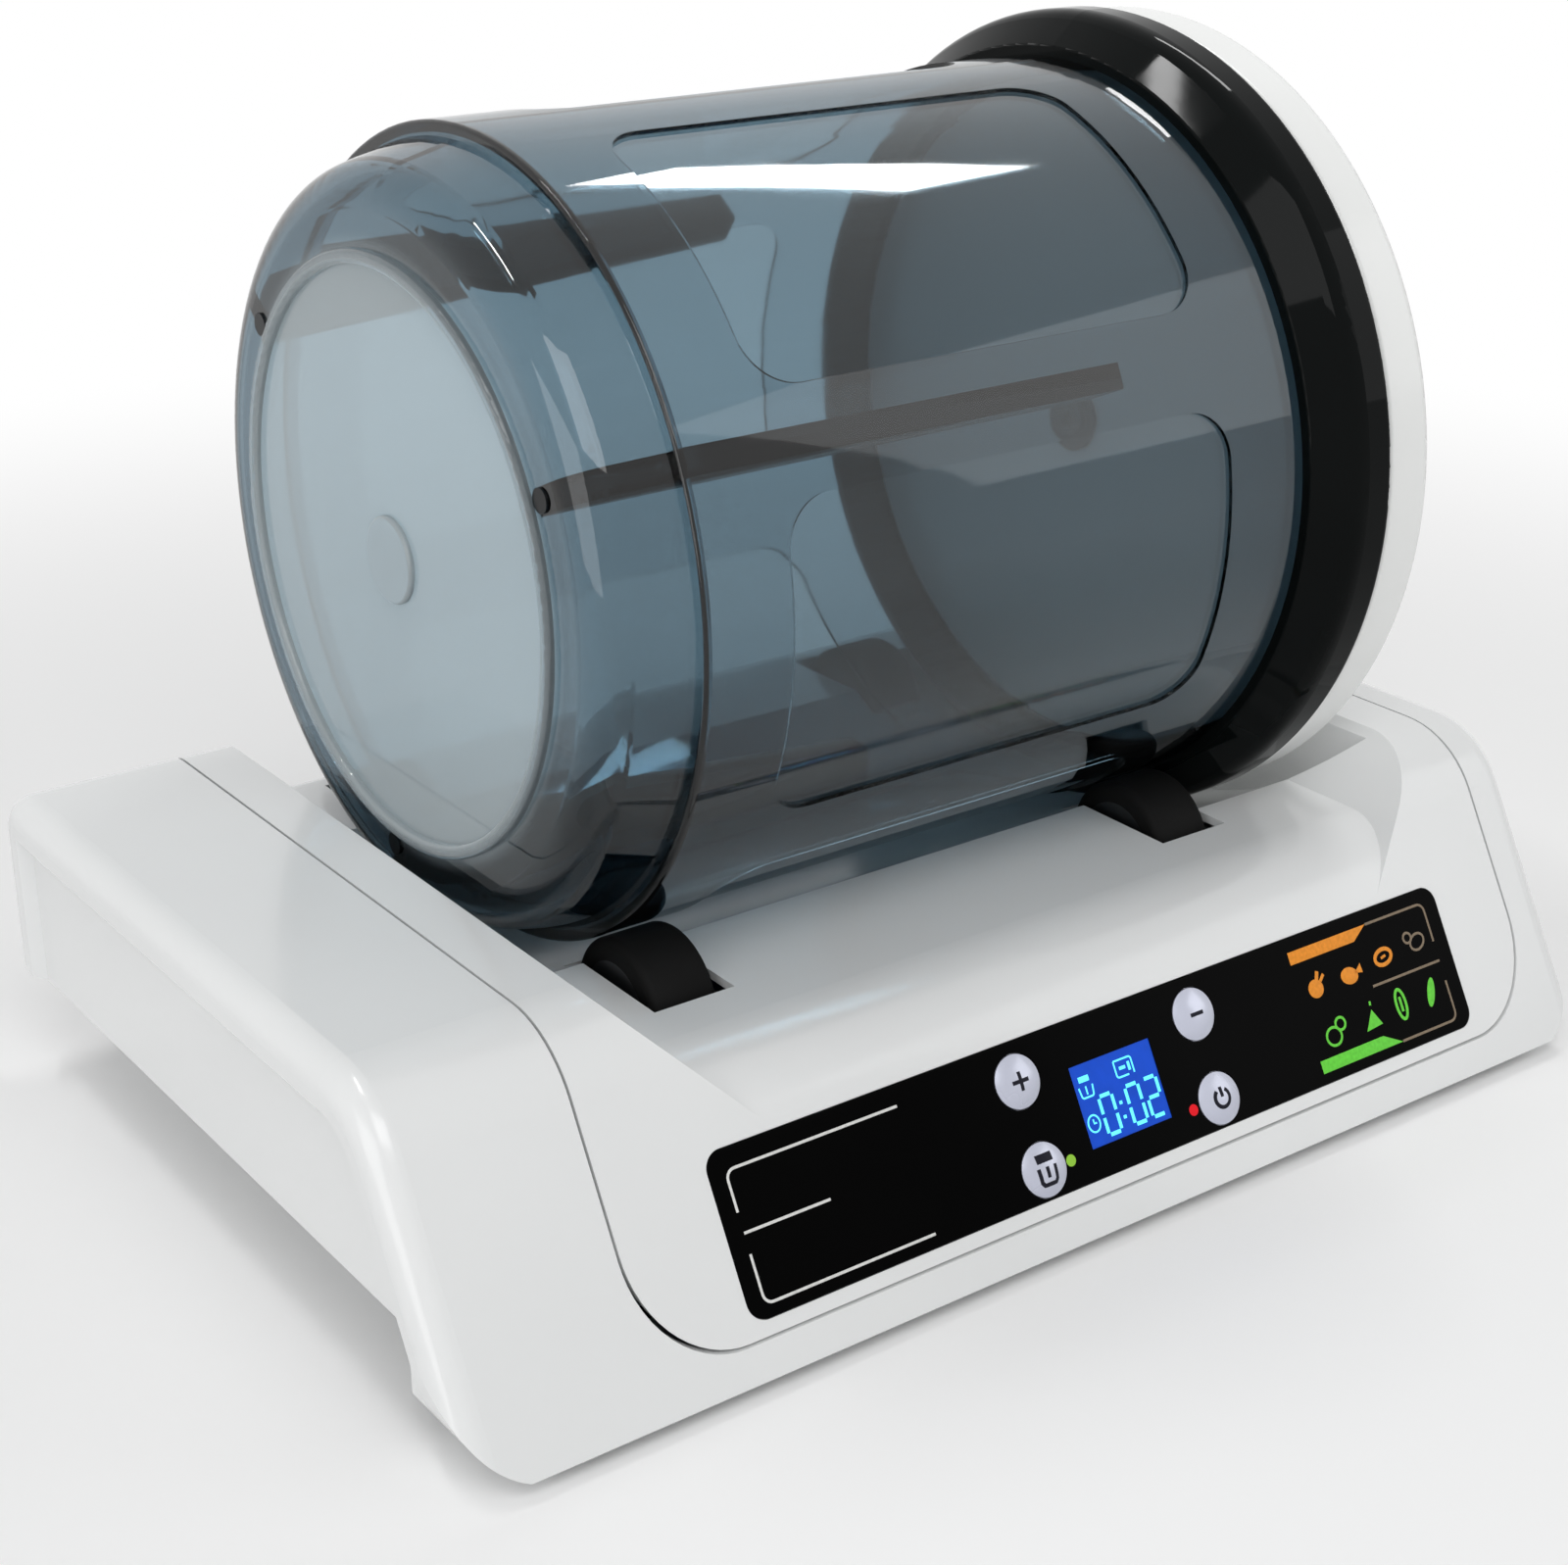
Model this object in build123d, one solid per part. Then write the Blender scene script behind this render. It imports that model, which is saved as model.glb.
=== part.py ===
from build123d import *
import os
from math import cos, radians, sin, sqrt, tan

# Vacuum tumbler for marinating meat: a console with four driven and free
# rollers, and a clear drum with a lid that lies on them.
# Millimetres. X runs along the drum, -Y is the front with the panel, Z is up.
# The origin is at the centre of the whole machine, on the table.

# Console
console_length = 390.0
console_back = 125.84
console_top = 90.0
saddle_drop = 18.0
knee_y = -93.56
front_lean = 29.6
foot_height = 3.0
wall = 2.5
back_round = 12.0
knee_round = 30.0
nose_tip = 2.0
end_round = 8.0
corner_round = 25.0
shoulder_round = 14.0
side_recess_depth = 3.0
side_recess_margin = 12.0
side_recess_slope = 55.0
lift_gap_width = 47.0
lift_gap_height = 34.0
lift_gap_overhang = 15.2

# Deck between the parting grooves
shoulder_width = 53.0
rim_width = 17.0
cheek_margin = 16.5
cheek_reach = 20.0
groove = 0.8
groove_lift = 10.4
groove_round = 27.0
deck_back_edge = 60.0
deck_back_inset = 12.6
deck_back_round = 10.0

# Drum
drum_y = 19.04
drum_end_gap = 24.0
drum_mouth_gap = 51.0
drum_radius = 110.5
drum_wall = 3.2
drum_step_length = 23.7
drum_step_height = 4.0
drum_step_round = 1.2
drum_taper = 6.0
drum_corner = 12.0
foot_ring_inset = 31.5
foot_ring_width = 4.0
foot_ring_height = 2.3
foot_ring_round = 1.2
boss_radius = 12.0
boss_height = 1.6
boss_round = 1.0
panel_count = 6
panel_strip_angle = 14.0
panel_start_gap = 26.3
panel_end_gap = 48.0
panel_depth = 1.2
panel_corner = 14.0
rib_angle = 155.5
rib_count = 3
rib_end_gap = 81.0
rib_thickness = 7.0
rib_height = 27.0
rib_tip_height = 13.0
rib_tip_round = 4.3
rib_pin_radius = 2.0
rib_pin_inset = 25.5
rib_pin_head_radius = 3.2
rib_pin_head = 0.6
rib_pin_depth = 14.0
overlap = 2.0

# Collar and lid
collar_length = 21.0
collar_height = 12.3
collar_lip = 2.0
collar_lip_round = 2.0
collar_mouth_round = 0.5
collar_step = 3.0
collar_step_round = 1.0
collar_slope = 10.0
collar_slope_round = 9.0
lid_gap = 0.3
lid_inset = 1.3
lid_width = 16.7
lid_wall = 3.5
lid_heel_round = 1.5
lid_rim_round = 3.0
lid_lip_round = 0.3
lid_well_round = 2.0
lid_plug_gap = 3.3
lid_plug_depth = 9.3
seal_inset = 2.0
seal_groove = 2.0
seal_width = 4.0
seal_gap = 0.3
seal_round = 1.0
grip_width = 18.0
grip_height = 16.0
grip_round = 3.6
valve_clear = 26.0
valve_radius = 6.0
valve_flange = 14.0
valve_flange_height = 3.5
valve_stem = 3.0
valve_tip = 3.0
valve_seal_width = 4.0
valve_seal_thick = 1.5
knob_radius = 13.0
knob_height = 11.0
knob_base = 3.7
knob_waist = 3.9
knob_round = 2.0
knob_gap = 0.2

# Rollers and shafts
roller_z = 61.88
roller_radius = 20.0
roller_width = 20.0
roller_round = 2.5
roller_offset = 69.0
roller_left_inset = 32.0
roller_right_inset = 35.0
roller_gap = 0.3
roller_slot_gap = 2.5
hub_radius = 14.0
shaft_radius = 4.0
shaft_overhang = 2.0
running_gap = 0.05
bush_radius = 5.0
bush_proud = 1.0
pillar_width = 20.0
pillar_thickness = 12.0
pillar_cap = 7.0
pillar_left_gap = 24.0
pillar_right_gap = 20.0

# Trough clearances round the drum and the collar
trough_gap = 5.5
trough_end_gap = 3.5
lid_travel_room = 13.0

# Control panel, in its own plane: across, up the slope, outwards
panel_shift = 1.0
panel_z = 36.0
panel_margin = 28.7
panel_height = 43.0
panel_round = 5.0
panel_edge = 0.25
panel_thick = 1.5
panel_proud = 0.3
panel_fit = 0.2
panel_ledge = 6.0
window_round = 3.0
key_u = -2.4
key_half = 32.0
key_high_inset = 10.7
key_low_inset = 8.1
key_radius = 7.3
key_gap = 0.3
key_flange = 7.9
key_flange_gap = 0.2
key_flange_thick = 1.5
key_crown = 1.6
key_stem = 2.0
key_travel = 1.0
display_u = -2.7
display_v = -2.1
display_width = 29.0
display_rim = 20.4
display_margin = 1.5
display_sink = 0.2
lamp_radius = 1.6
lamp_stalk = 0.8
lamp_green_u = -25.2
lamp_red_u = 19.7
lamp_inset = 7.7
board_depth = 10.0
board_thick = 1.6
board_width = 130.0
board_rim = 3.0
spacer_radius = 3.0
spacer_inset = 12.5
spacer_margin = 4.0
switch_size = 6.0
switch_height = 2.6
switch_plunger = 1.7
switch_plunger_height = 0.7
switch_gap = 0.1

# Tray, feet and screws
tray_thick = 3.0
tray_fit = 0.3
tray_rim = 9.0
tray_front_rim = 20.0
foot_radius = 9.0
foot_round = 0.75
foot_peg = 3.0
foot_end_inset = 73.0
foot_front_overhang = 7.2
foot_back_inset = 22.6
post_radius = 5.0
post_left_inset = 165.0
post_right_inset = 147.0
post_front_inset = 16.8
post_back_inset = 19.6
screw_radius = 2.0
screw_head = 3.6
screw_head_height = 2.0

# Motor, pump and electrics
motor_radius = 21.0
motor_width = 22.0
motor_can_radius = 15.0
motor_can_width = 10.0
motor_face_inset = 39.0
motor_boss = 9.0
motor_boss_width = 4.0
bracket_thick = 3.0
bracket_width = 48.0
coupling_radius = 8.0
coupling_width = 16.0
coupling_inset = 54.0
shaft_break = 0.4
pump_inset = 26.0
pump_back_inset = 122.6
pump_radius = 13.0
pump_length = 48.0
pump_head = 30.0
pump_head_rise = 4.0
pump_head_length = 28.0
pump_head_round = 4.0
pump_cradle = 34.0
pump_cradle_inset = 4.0
hose_radius = 4.0
hose_bore = 2.4
barb_length = 13.0
port_radius = 9.0
port_stem = 4.5
port_flange = 2.0
port_nozzle = 10.0
inlet_inset = 45.0
inlet_z = 30.0
inlet_width = 26.0
inlet_height = 18.0
inlet_depth = 18.0
inlet_flange = 2.0
inlet_flange_margin = 3.0
inlet_wall = 3.0
inlet_pin = 1.2
inlet_pin_half = 5.0
inlet_pin_sink = 2.0
power_board_inset = 135.0
power_board_y = 13.24
power_board_length = 90.0
power_board_depth = 60.0
power_board_lift = 6.0
transformer_length = 38.0
transformer_depth = 32.0
transformer_height = 26.0
transformer_round = 3.0
standoff_radius = 3.0
standoff_inset = 6.0

# Worked out from the sizes above
far = console_length
lean = radians(front_lean)
half_length = console_length / 2
saddle_top = console_top - saddle_drop
lift_gap_right = -half_length + lift_gap_width
lift_gap_front = knee_y - lift_gap_overhang
shoulder_floor = lift_gap_height + wall
deck_left = -half_length + shoulder_width
deck_right = half_length - rim_width
deck_x = (deck_left + deck_right) / 2
deck_half = (deck_right - deck_left) / 2
cheek_half = deck_half - cheek_margin
groove_floor = foot_height + groove_lift
deck_back_start = console_back - deck_back_inset
drum_end = deck_left + drum_end_gap
drum_mouth = deck_right - drum_mouth_gap
drum_step = drum_end + drum_step_length
drum_bore = drum_radius - drum_wall
foot_ring_radius = drum_radius - foot_ring_inset
panel_start = drum_step + panel_start_gap
panel_end = drum_mouth - panel_end_gap
rib_end = drum_mouth - rib_end_gap
rib_pin_circle = drum_radius - rib_pin_inset
collar_start = drum_mouth - collar_length
collar_end = drum_mouth + collar_lip
collar_radius = drum_radius + collar_height
lid_radius = collar_radius - lid_inset
lid_start = collar_end + lid_gap
lid_end = lid_start + lid_width
lid_inside = lid_start - lid_plug_depth
lid_plug_radius = drum_bore - lid_plug_gap
lid_web = lid_inside + lid_wall
seal_start = lid_inside + seal_inset
seal_end = seal_start + seal_width
roller_drop = sqrt((drum_radius + roller_gap + roller_radius) ** 2 - roller_offset ** 2)
drum_z = roller_z + roller_drop
drum_place = Location((0, drum_y, drum_z))
front_axle_y = drum_y - roller_offset
back_axle_y = drum_y + roller_offset
roller_left = drum_end + roller_left_inset
roller_right = drum_mouth - roller_right_inset
roller_xs = (roller_left, roller_right)
shaft_right_end = roller_right + roller_width / 2
pillar_left = roller_left - pillar_left_gap
pillar_right = roller_right - pillar_right_gap
pillar_xs = (pillar_left, pillar_right)
panel_x = deck_x + panel_shift
panel_y = knee_y - (console_top - panel_z) * tan(lean)
panel_width = 2 * (deck_half - panel_margin)
panel_plane = Plane((panel_x, panel_y, panel_z), x_dir=(1, 0, 0), z_dir=(0, -cos(lean), sin(lean)))
panel_axis = Axis(panel_plane.origin, panel_plane.z_dir)
panel_back = panel_proud - panel_thick
key_back = panel_back - key_gap - key_flange_thick
key_top = panel_proud + key_crown
key_dome = (key_radius ** 2 + key_crown ** 2) / (2 * key_crown)
key_high = panel_height / 2 - key_high_inset
key_low = key_low_inset - panel_height / 2
display_height = panel_height - display_rim
lamp_v = lamp_inset - panel_height / 2
board_height = panel_height - board_rim
spacer_v = panel_height / 2 - spacer_inset
keys = {
    "plus_button": (key_u - key_half, key_high),
    "minus_button": (key_u + key_half, key_high),
    "vacuum_button": (key_u - key_half, key_low),
    "power_button": (key_u + key_half, key_low),
}
switch_top = -board_depth + switch_height
key_stem_end = switch_top + switch_plunger_height + key_travel + switch_gap
tray_top = foot_height + tray_thick
foot_x = half_length - foot_end_inset
foot_ys = (knee_y - foot_front_overhang, console_back - foot_back_inset)
foot_places = [(x, y) for x in (-foot_x, foot_x) for y in foot_ys]
post_xs = (-half_length + post_left_inset, half_length - post_right_inset)
post_ys = (knee_y + post_front_inset, console_back - post_back_inset)
post_places = [(x, y) for x in post_xs for y in post_ys]
post_top = saddle_top - wall
motor_face = -half_length + motor_face_inset
coupling_centre = -half_length + coupling_inset
pump_x = -half_length + pump_inset
pump_start = console_back - pump_back_inset
pump_axis_z = shoulder_floor + bracket_thick + pump_radius
pump_head_start = pump_start + pump_length
pump_head_end = pump_head_start + pump_head_length
hose_z = shoulder_floor + pump_head / 2 + pump_head_rise
hose_end = console_back - wall
inlet_x = half_length - inlet_inset
power_board_x = half_length - power_board_inset
power_board_z = tray_top + power_board_lift


# Helpers
def block(x0, x1, y0, y1, z0, z1):
    corner = (Align.MIN, Align.MIN, Align.MIN)
    return Location((x0, y0, z0)) * Box(x1 - x0, y1 - y0, z1 - z0, align=corner)


def rod_x(radius, x0, x1, y, z):
    end = Plane((x0, y, z), x_dir=(0, 1, 0), z_dir=(1, 0, 0))
    return extrude(end * Circle(radius), x1 - x0)


def rod_y(radius, y0, y1, x, z):
    end = Plane((x, y0, z), x_dir=(1, 0, 0), z_dir=(0, 1, 0))
    return extrude(end * Circle(radius), y1 - y0)


def rod_z(radius, z0, z1, x, y):
    return extrude(Plane((x, y, z0)) * Circle(radius), z1 - z0)


def turned(points, radii):
    """Solid of revolution about the X axis from (x, radius) points."""
    outline = make_face(FilletPolyline(*points, radius=radii, close=True))
    return revolve(Plane.XZ * outline, axis=Axis.X)


def on_panel(sketch, low, high, u=0.0, v=0.0):
    """Sketch extruded outwards from the panel's plane."""
    return extrude(panel_plane.offset(low) * Pos(u, v) * sketch, high - low)


# Console forms
def front_at(z, inset):
    return knee_y + inset / cos(lean) - (console_top - z) * tan(lean)


def side_profile(inset, top, bottom, tip):
    """Outline of the console seen from its end, moved inwards by inset, with a blunt nose."""
    back = console_back - inset
    high = top - inset
    nose = front_at(bottom + tip, inset)
    points = [(back, bottom), (back, high), (front_at(high, inset), high), (nose, bottom + tip)]
    radii = [0, back_round - inset, knee_round - inset, 0]
    if tip:
        points.append((nose + tip, bottom))
        radii.append(0)
    return make_face(FilletPolyline(*points, radius=radii, close=True))


def lower_corner(end, side, radius, bottom):
    """Room outside the rounded lower corner at one end of the console."""
    centre = end - side * radius
    low, high = sorted((centre, side * far))
    room = block(low, high, -far, far, -far, bottom + radius)
    return room - rod_y(radius, -far, far, centre, bottom + radius)


def lifting_gap(inset):
    """Room under the left shoulder, with the rounded edge at the back."""
    right = lift_gap_right + inset
    low = lift_gap_height + inset
    room = block(-far, right, lift_gap_front - inset, far, -far, low)
    radius = shoulder_round - inset
    centre = console_back - shoulder_round
    edge = block(-far, right, centre, far, -far, low + radius)
    return room + (edge - rod_x(radius, -far, right, centre, low + radius))


def console_block(inset, left_inset):
    """Console without its saddle, with the lifting gap under the left shoulder."""
    left = -half_length + left_inset
    right = half_length - inset
    bottom = foot_height + inset
    form = extrude(Plane.YZ.offset(left) * side_profile(inset, console_top, bottom, nose_tip), right - left)
    ends = form.faces().filter_by(Axis.X).edges()
    rims = [edge for edge in ends if edge.center().Z > bottom + nose_tip]
    form = fillet(rims, end_round - inset)
    form -= lower_corner(left, -1, corner_round - inset, bottom)
    form -= lower_corner(right, 1, corner_round - inset, bottom)
    return form - lifting_gap(inset)


def saddle_space(grow):
    """Room above the saddle, between the sloping cheeks, and the troughs for drum and lid."""
    low = saddle_top - saddle_drop
    high = console_top + cheek_reach
    half_low = cheek_half + grow * sqrt(2) - (console_top - low)
    half_high = half_low + high - low
    corners = [(deck_x - half_low, low), (deck_x + half_low, low)]
    corners += [(deck_x + half_high, high), (deck_x - half_high, high)]
    across = make_face(Polyline(*corners, close=True))
    space = extrude(Plane.XZ.offset(-far / 2) * across, far)
    ridge = side_profile(grow, saddle_top, -far, 0)
    space -= extrude(Plane.YZ.offset(-far) * ridge, 2 * far)
    left = drum_end - foot_ring_height - trough_end_gap - grow
    right = lid_end + lid_travel_room + grow
    space += rod_x(drum_radius + trough_gap + grow, left, right, drum_y, drum_z)
    collar_left = collar_start - trough_end_gap - grow
    space += rod_x(collar_radius + trough_gap + grow, collar_left, right, drum_y, drum_z)
    return space


def deck_region(shrink):
    """Everything inside the parting groove."""
    left = deck_left + shrink
    right = deck_right - shrink
    floor = groove_floor + shrink
    front = FilletPolyline((left, far), (left, floor), (right, floor), (right, far),
                           radius=[0, groove_round, groove_round, 0], close=True)
    region = extrude(Plane.XZ.offset(-deck_back_start) * make_face(front), far)
    edge = deck_back_edge + shrink
    back = FilletPolyline((left, far), (left, edge), (right, edge), (right, far),
                          radius=[0, deck_back_round, deck_back_round, 0], close=True)
    region += extrude(Plane.XZ.offset(-far) * make_face(back), far - deck_back_start)
    return region


def side_recess():
    """Shallow panel with sloping borders in the left end, open at the bottom."""
    outline = offset(side_profile(0, console_top, -far, 0), -side_recess_margin)
    return extrude(Plane.YZ.offset(-half_length) * outline, side_recess_depth, taper=side_recess_slope)


def tray_opening(shrink):
    """Opening in the underside that the tray closes."""
    left = lift_gap_right + wall + tray_rim + shrink
    right = half_length - corner_round - tray_rim - shrink
    front = front_at(foot_height, 0) + tray_front_rim + shrink
    back = console_back - tray_rim - shrink
    return block(left, right, front, back, foot_height, tray_top)


def console_shell():
    outside = console_block(0, 0) - saddle_space(0) - side_recess()
    inside = console_block(wall, wall + side_recess_depth) - saddle_space(wall)
    return outside - inside - tray_opening(0)


def roller_slots():
    slots = []
    reach = roller_radius + roller_slot_gap
    half = roller_width / 2 + roller_slot_gap
    for axle_y in (front_axle_y, back_axle_y):
        for x in roller_xs:
            slots.append(block(x - half, x + half, axle_y - reach, axle_y + reach, roller_z - reach, far))
    return slots


def panel_outline(grow):
    return RectangleRounded(panel_width + 2 * grow, panel_height + 2 * grow, panel_round + grow)


def panel_seat():
    """Pocket that the panel lies in, and the window behind it."""
    pocket = on_panel(panel_outline(panel_fit), panel_back, cheek_reach)
    opening = RectangleRounded(panel_width - 2 * panel_ledge, panel_height - 2 * panel_ledge, window_round)
    seat = pocket + on_panel(opening, -4 * wall, cheek_reach)
    for u, v in keys.values():
        seat += on_panel(Circle(key_flange + key_flange_gap), -4 * wall, panel_proud, u, v)
    return seat


def housing():
    body = console_shell() - deck_region(-groove / 2)
    body -= rod_y(port_stem, console_back - 2 * wall, far, pump_x, hose_z)
    half = inlet_width / 2
    tall = inlet_height / 2
    body -= block(inlet_x - half, inlet_x + half, console_back - 2 * wall, far, inlet_z - tall, inlet_z + tall)
    return body


def deck():
    body = console_shell() & deck_region(groove / 2)
    for slot in roller_slots():
        body -= slot
    return body - panel_seat()


# Tray, feet and screws
def tray():
    floor = tray_opening(tray_fit)
    for x, y in post_places:
        floor += rod_z(post_radius, foot_height, post_top, x, y)
    for x, y in post_places:
        floor -= rod_z(screw_radius, foot_height, post_top, x, y)
        floor -= rod_z(screw_head, foot_height, foot_height + screw_head_height, x, y)
    for x, y in foot_places:
        floor -= rod_z(foot_peg, foot_height, tray_top, x, y)
    for x, y in standoff_places():
        floor += rod_z(standoff_radius, tray_top, power_board_z, x, y)
    return floor


def feet():
    solids = []
    for x, y in foot_places:
        pad = rod_z(foot_radius, 0, foot_height, x, y)
        pad = fillet(pad.edges().group_by(Axis.Z)[0], foot_round)
        solids.append(pad + rod_z(foot_peg, foot_height, tray_top, x, y))
    return solids


def screws():
    solids = []
    for x, y in post_places:
        head = rod_z(screw_head, foot_height, foot_height + screw_head_height, x, y)
        solids.append(head + rod_z(screw_radius, foot_height, post_top, x, y))
    return solids


# Rollers, shafts and bearings
def roller_tyre(x, axle_y):
    half = roller_width / 2
    points = [(-half, hub_radius), (half, hub_radius), (half, roller_radius), (-half, roller_radius)]
    return Location((x, axle_y, roller_z)) * turned(points, [0, 0, roller_round, roller_round])


def roller_hub(x, axle_y):
    start = x - roller_width / 2
    end = x + roller_width / 2
    return rod_x(hub_radius, start, end, axle_y, roller_z) - rod_x(shaft_radius, start, end, axle_y, roller_z)


def pillar(x, axle_y):
    half = pillar_thickness / 2
    side = pillar_width / 2
    post = block(x - half, x + half, axle_y - side, axle_y + side, tray_top, roller_z + pillar_cap)
    return post - rod_x(bush_radius, x - half, x + half, axle_y, roller_z)


def bush(x, axle_y):
    half = pillar_thickness / 2 + bush_proud
    sleeve = rod_x(bush_radius, x - half, x + half, axle_y, roller_z)
    return sleeve - rod_x(shaft_radius + running_gap, x - half, x + half, axle_y, roller_z)


def drive_shaft():
    return rod_x(shaft_radius, coupling_centre + shaft_break, shaft_right_end, front_axle_y, roller_z)


def idler_shaft():
    start = pillar_left - pillar_thickness / 2 - shaft_overhang
    return rod_x(shaft_radius, start, shaft_right_end, back_axle_y, roller_z)


# Gear motor on the drive shaft
def gear_motor():
    back = motor_face - motor_width
    nose = motor_face + motor_boss_width
    body = rod_x(motor_radius, back, motor_face, front_axle_y, roller_z)
    body += rod_x(motor_can_radius, back - motor_can_width, back, front_axle_y, roller_z)
    body += rod_x(motor_boss, motor_face, nose, front_axle_y, roller_z)
    return body - rod_x(shaft_radius + running_gap, motor_face - motor_width / 2, nose, front_axle_y, roller_z)


def motor_bracket():
    front = front_axle_y - bracket_width / 2
    back = front_axle_y + bracket_width / 2
    face = motor_face + bracket_thick
    plate = block(motor_face, face, front, back, shoulder_floor, roller_z + motor_radius)
    plate -= rod_x(motor_boss, motor_face, face, front_axle_y, roller_z)
    foot_top = shoulder_floor + bracket_thick
    return plate + block(motor_face - motor_width, motor_face, front, back, shoulder_floor, foot_top)


def output_shaft():
    start = motor_face - motor_width / 2 + shaft_break
    return rod_x(shaft_radius, start, coupling_centre - shaft_break, front_axle_y, roller_z)


def coupling():
    start = coupling_centre - coupling_width / 2
    end = coupling_centre + coupling_width / 2
    sleeve = rod_x(coupling_radius, start, end, front_axle_y, roller_z)
    return sleeve - rod_x(shaft_radius, start, end, front_axle_y, roller_z)


# Vacuum pump in the left shoulder
def pump_motor():
    return rod_y(pump_radius, pump_start, pump_head_start, pump_x, pump_axis_z)


def pump():
    half = pump_head / 2
    top = shoulder_floor + pump_head + pump_head_rise
    head = block(pump_x - half, pump_x + half, pump_head_start, pump_head_end, shoulder_floor, top)
    head = fillet(head.edges().filter_by(Axis.Y), pump_head_round)
    return head + rod_y(hose_bore, pump_head_end, pump_head_end + barb_length, pump_x, hose_z)


def pump_bracket():
    half = pump_cradle / 2
    start = pump_start + pump_cradle_inset
    end = pump_head_start - pump_cradle_inset
    cradle = block(pump_x - half, pump_x + half, start, end, shoulder_floor, pump_axis_z)
    return cradle - rod_y(pump_radius, pump_start, pump_head_start, pump_x, pump_axis_z)


def vacuum_hose():
    tube = rod_y(hose_radius, pump_head_end, hose_end, pump_x, hose_z)
    return tube - rod_y(hose_bore, pump_head_end, hose_end, pump_x, hose_z)


def vacuum_port():
    body = rod_y(hose_bore, hose_end - barb_length, hose_end, pump_x, hose_z)
    body += rod_y(port_stem, hose_end, console_back, pump_x, hose_z)
    body += rod_y(port_radius, console_back, console_back + port_flange, pump_x, hose_z)
    return body + rod_y(hose_radius, console_back + port_flange, console_back + port_nozzle, pump_x, hose_z)


# Electrics
def standoff_places():
    dx = power_board_length / 2 - standoff_inset
    dy = power_board_depth / 2 - standoff_inset
    return [(power_board_x + i * dx, power_board_y + j * dy) for i in (-1, 1) for j in (-1, 1)]


def on_board(length, depth, low, high):
    """Block centred over the power board."""
    dx = length / 2
    dy = depth / 2
    return block(power_board_x - dx, power_board_x + dx, power_board_y - dy, power_board_y + dy, low, high)


def power_board():
    return on_board(power_board_length, power_board_depth, power_board_z, power_board_z + board_thick)


def transformer():
    base = power_board_z + board_thick
    core = on_board(transformer_length, transformer_depth, base, base + transformer_height)
    return fillet(core.edges().filter_by(Axis.Z), transformer_round)


def inlet_block(margin, front, back):
    """Block round the inlet's axis, wider or narrower than its body by margin."""
    half = inlet_width / 2 + margin
    tall = inlet_height / 2 + margin
    return block(inlet_x - half, inlet_x + half, front, back, inlet_z - tall, inlet_z + tall)


def power_inlet():
    face = console_back + inlet_flange
    front = face - inlet_depth
    body = inlet_block(0, front, face) + inlet_block(inlet_flange_margin, console_back, face)
    return body - inlet_block(-inlet_wall, front + inlet_wall, far)


def inlet_pins():
    start = console_back + inlet_flange - inlet_depth + inlet_wall
    end = console_back - inlet_pin_sink
    return [rod_y(inlet_pin, start, end, inlet_x + side * inlet_pin_half, inlet_z) for side in (-1, 1)]


# Control panel
def control_panel():
    plate = on_panel(panel_outline(0), panel_back, panel_proud)
    plate = fillet(plate.edges().group_by(panel_axis)[-1], panel_edge)
    for u, v in keys.values():
        plate -= on_panel(Circle(key_radius + key_gap), panel_back, panel_proud, u, v)
    plate -= on_panel(Rectangle(display_width, display_height), panel_back, panel_proud, display_u, display_v)
    for u in (lamp_green_u, lamp_red_u):
        plate -= on_panel(Circle(lamp_radius), panel_back, panel_proud, u, lamp_v)
    return plate


def button(u, v):
    """Domed key with a flange behind the panel and a stem over its switch."""
    cap = on_panel(Circle(key_radius), key_back, key_top, u, v)
    cap &= panel_plane.offset(key_top - key_dome) * Pos(u, v) * Sphere(key_dome)
    cap += on_panel(Circle(key_flange), key_back, key_back + key_flange_thick, u, v)
    return cap + on_panel(Circle(key_stem), key_stem_end, key_back, u, v)


def display_window():
    pane = Rectangle(display_width, display_height)
    return on_panel(pane, panel_back, panel_proud - display_sink, display_u, display_v)


def display_module():
    pane = Rectangle(display_width + 2 * display_margin, display_height + 2 * display_margin)
    return on_panel(pane, -board_depth, panel_back, display_u, display_v)


def indicator(u):
    lamp = on_panel(Circle(lamp_radius), panel_back, panel_proud, u, lamp_v)
    return lamp + on_panel(Circle(lamp_stalk), -board_depth, panel_back, u, lamp_v)


def control_board():
    return on_panel(Rectangle(board_width, board_height), -board_depth - board_thick, -board_depth, display_u, 0)


def tact_switches():
    solids = []
    plunger_top = switch_top + switch_plunger_height
    for u, v in keys.values():
        body = on_panel(Rectangle(switch_size, switch_size), -board_depth, switch_top, u, v)
        solids.append(body + on_panel(Circle(switch_plunger), switch_top, plunger_top, u, v))
    return solids


def board_spacers():
    """Four spacers that carry the control board behind the window's edge."""
    du = board_width / 2 - spacer_margin
    solids = []
    for i in (-1, 1):
        for j in (-1, 1):
            u = display_u + i * du
            solids.append(on_panel(Circle(spacer_radius), -board_depth, panel_back, u, j * spacer_v))
    return solids


# Drum
def drum_form(end, step, radius, corner, step_round):
    """Stepped drum outline about the X axis, closed at its left end."""
    shoulder = radius - drum_step_height
    points = [(end, 0), (end, shoulder - drum_taper), (step, shoulder), (step, radius)]
    points += [(drum_mouth, radius), (drum_mouth, 0)]
    return turned(points, [0, corner, 0, step_round, 0, 0])


def drum_room():
    """Inside of the drum."""
    return drum_form(drum_end + drum_wall, drum_step + drum_wall, drum_bore, drum_corner - drum_wall, 0)


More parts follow.
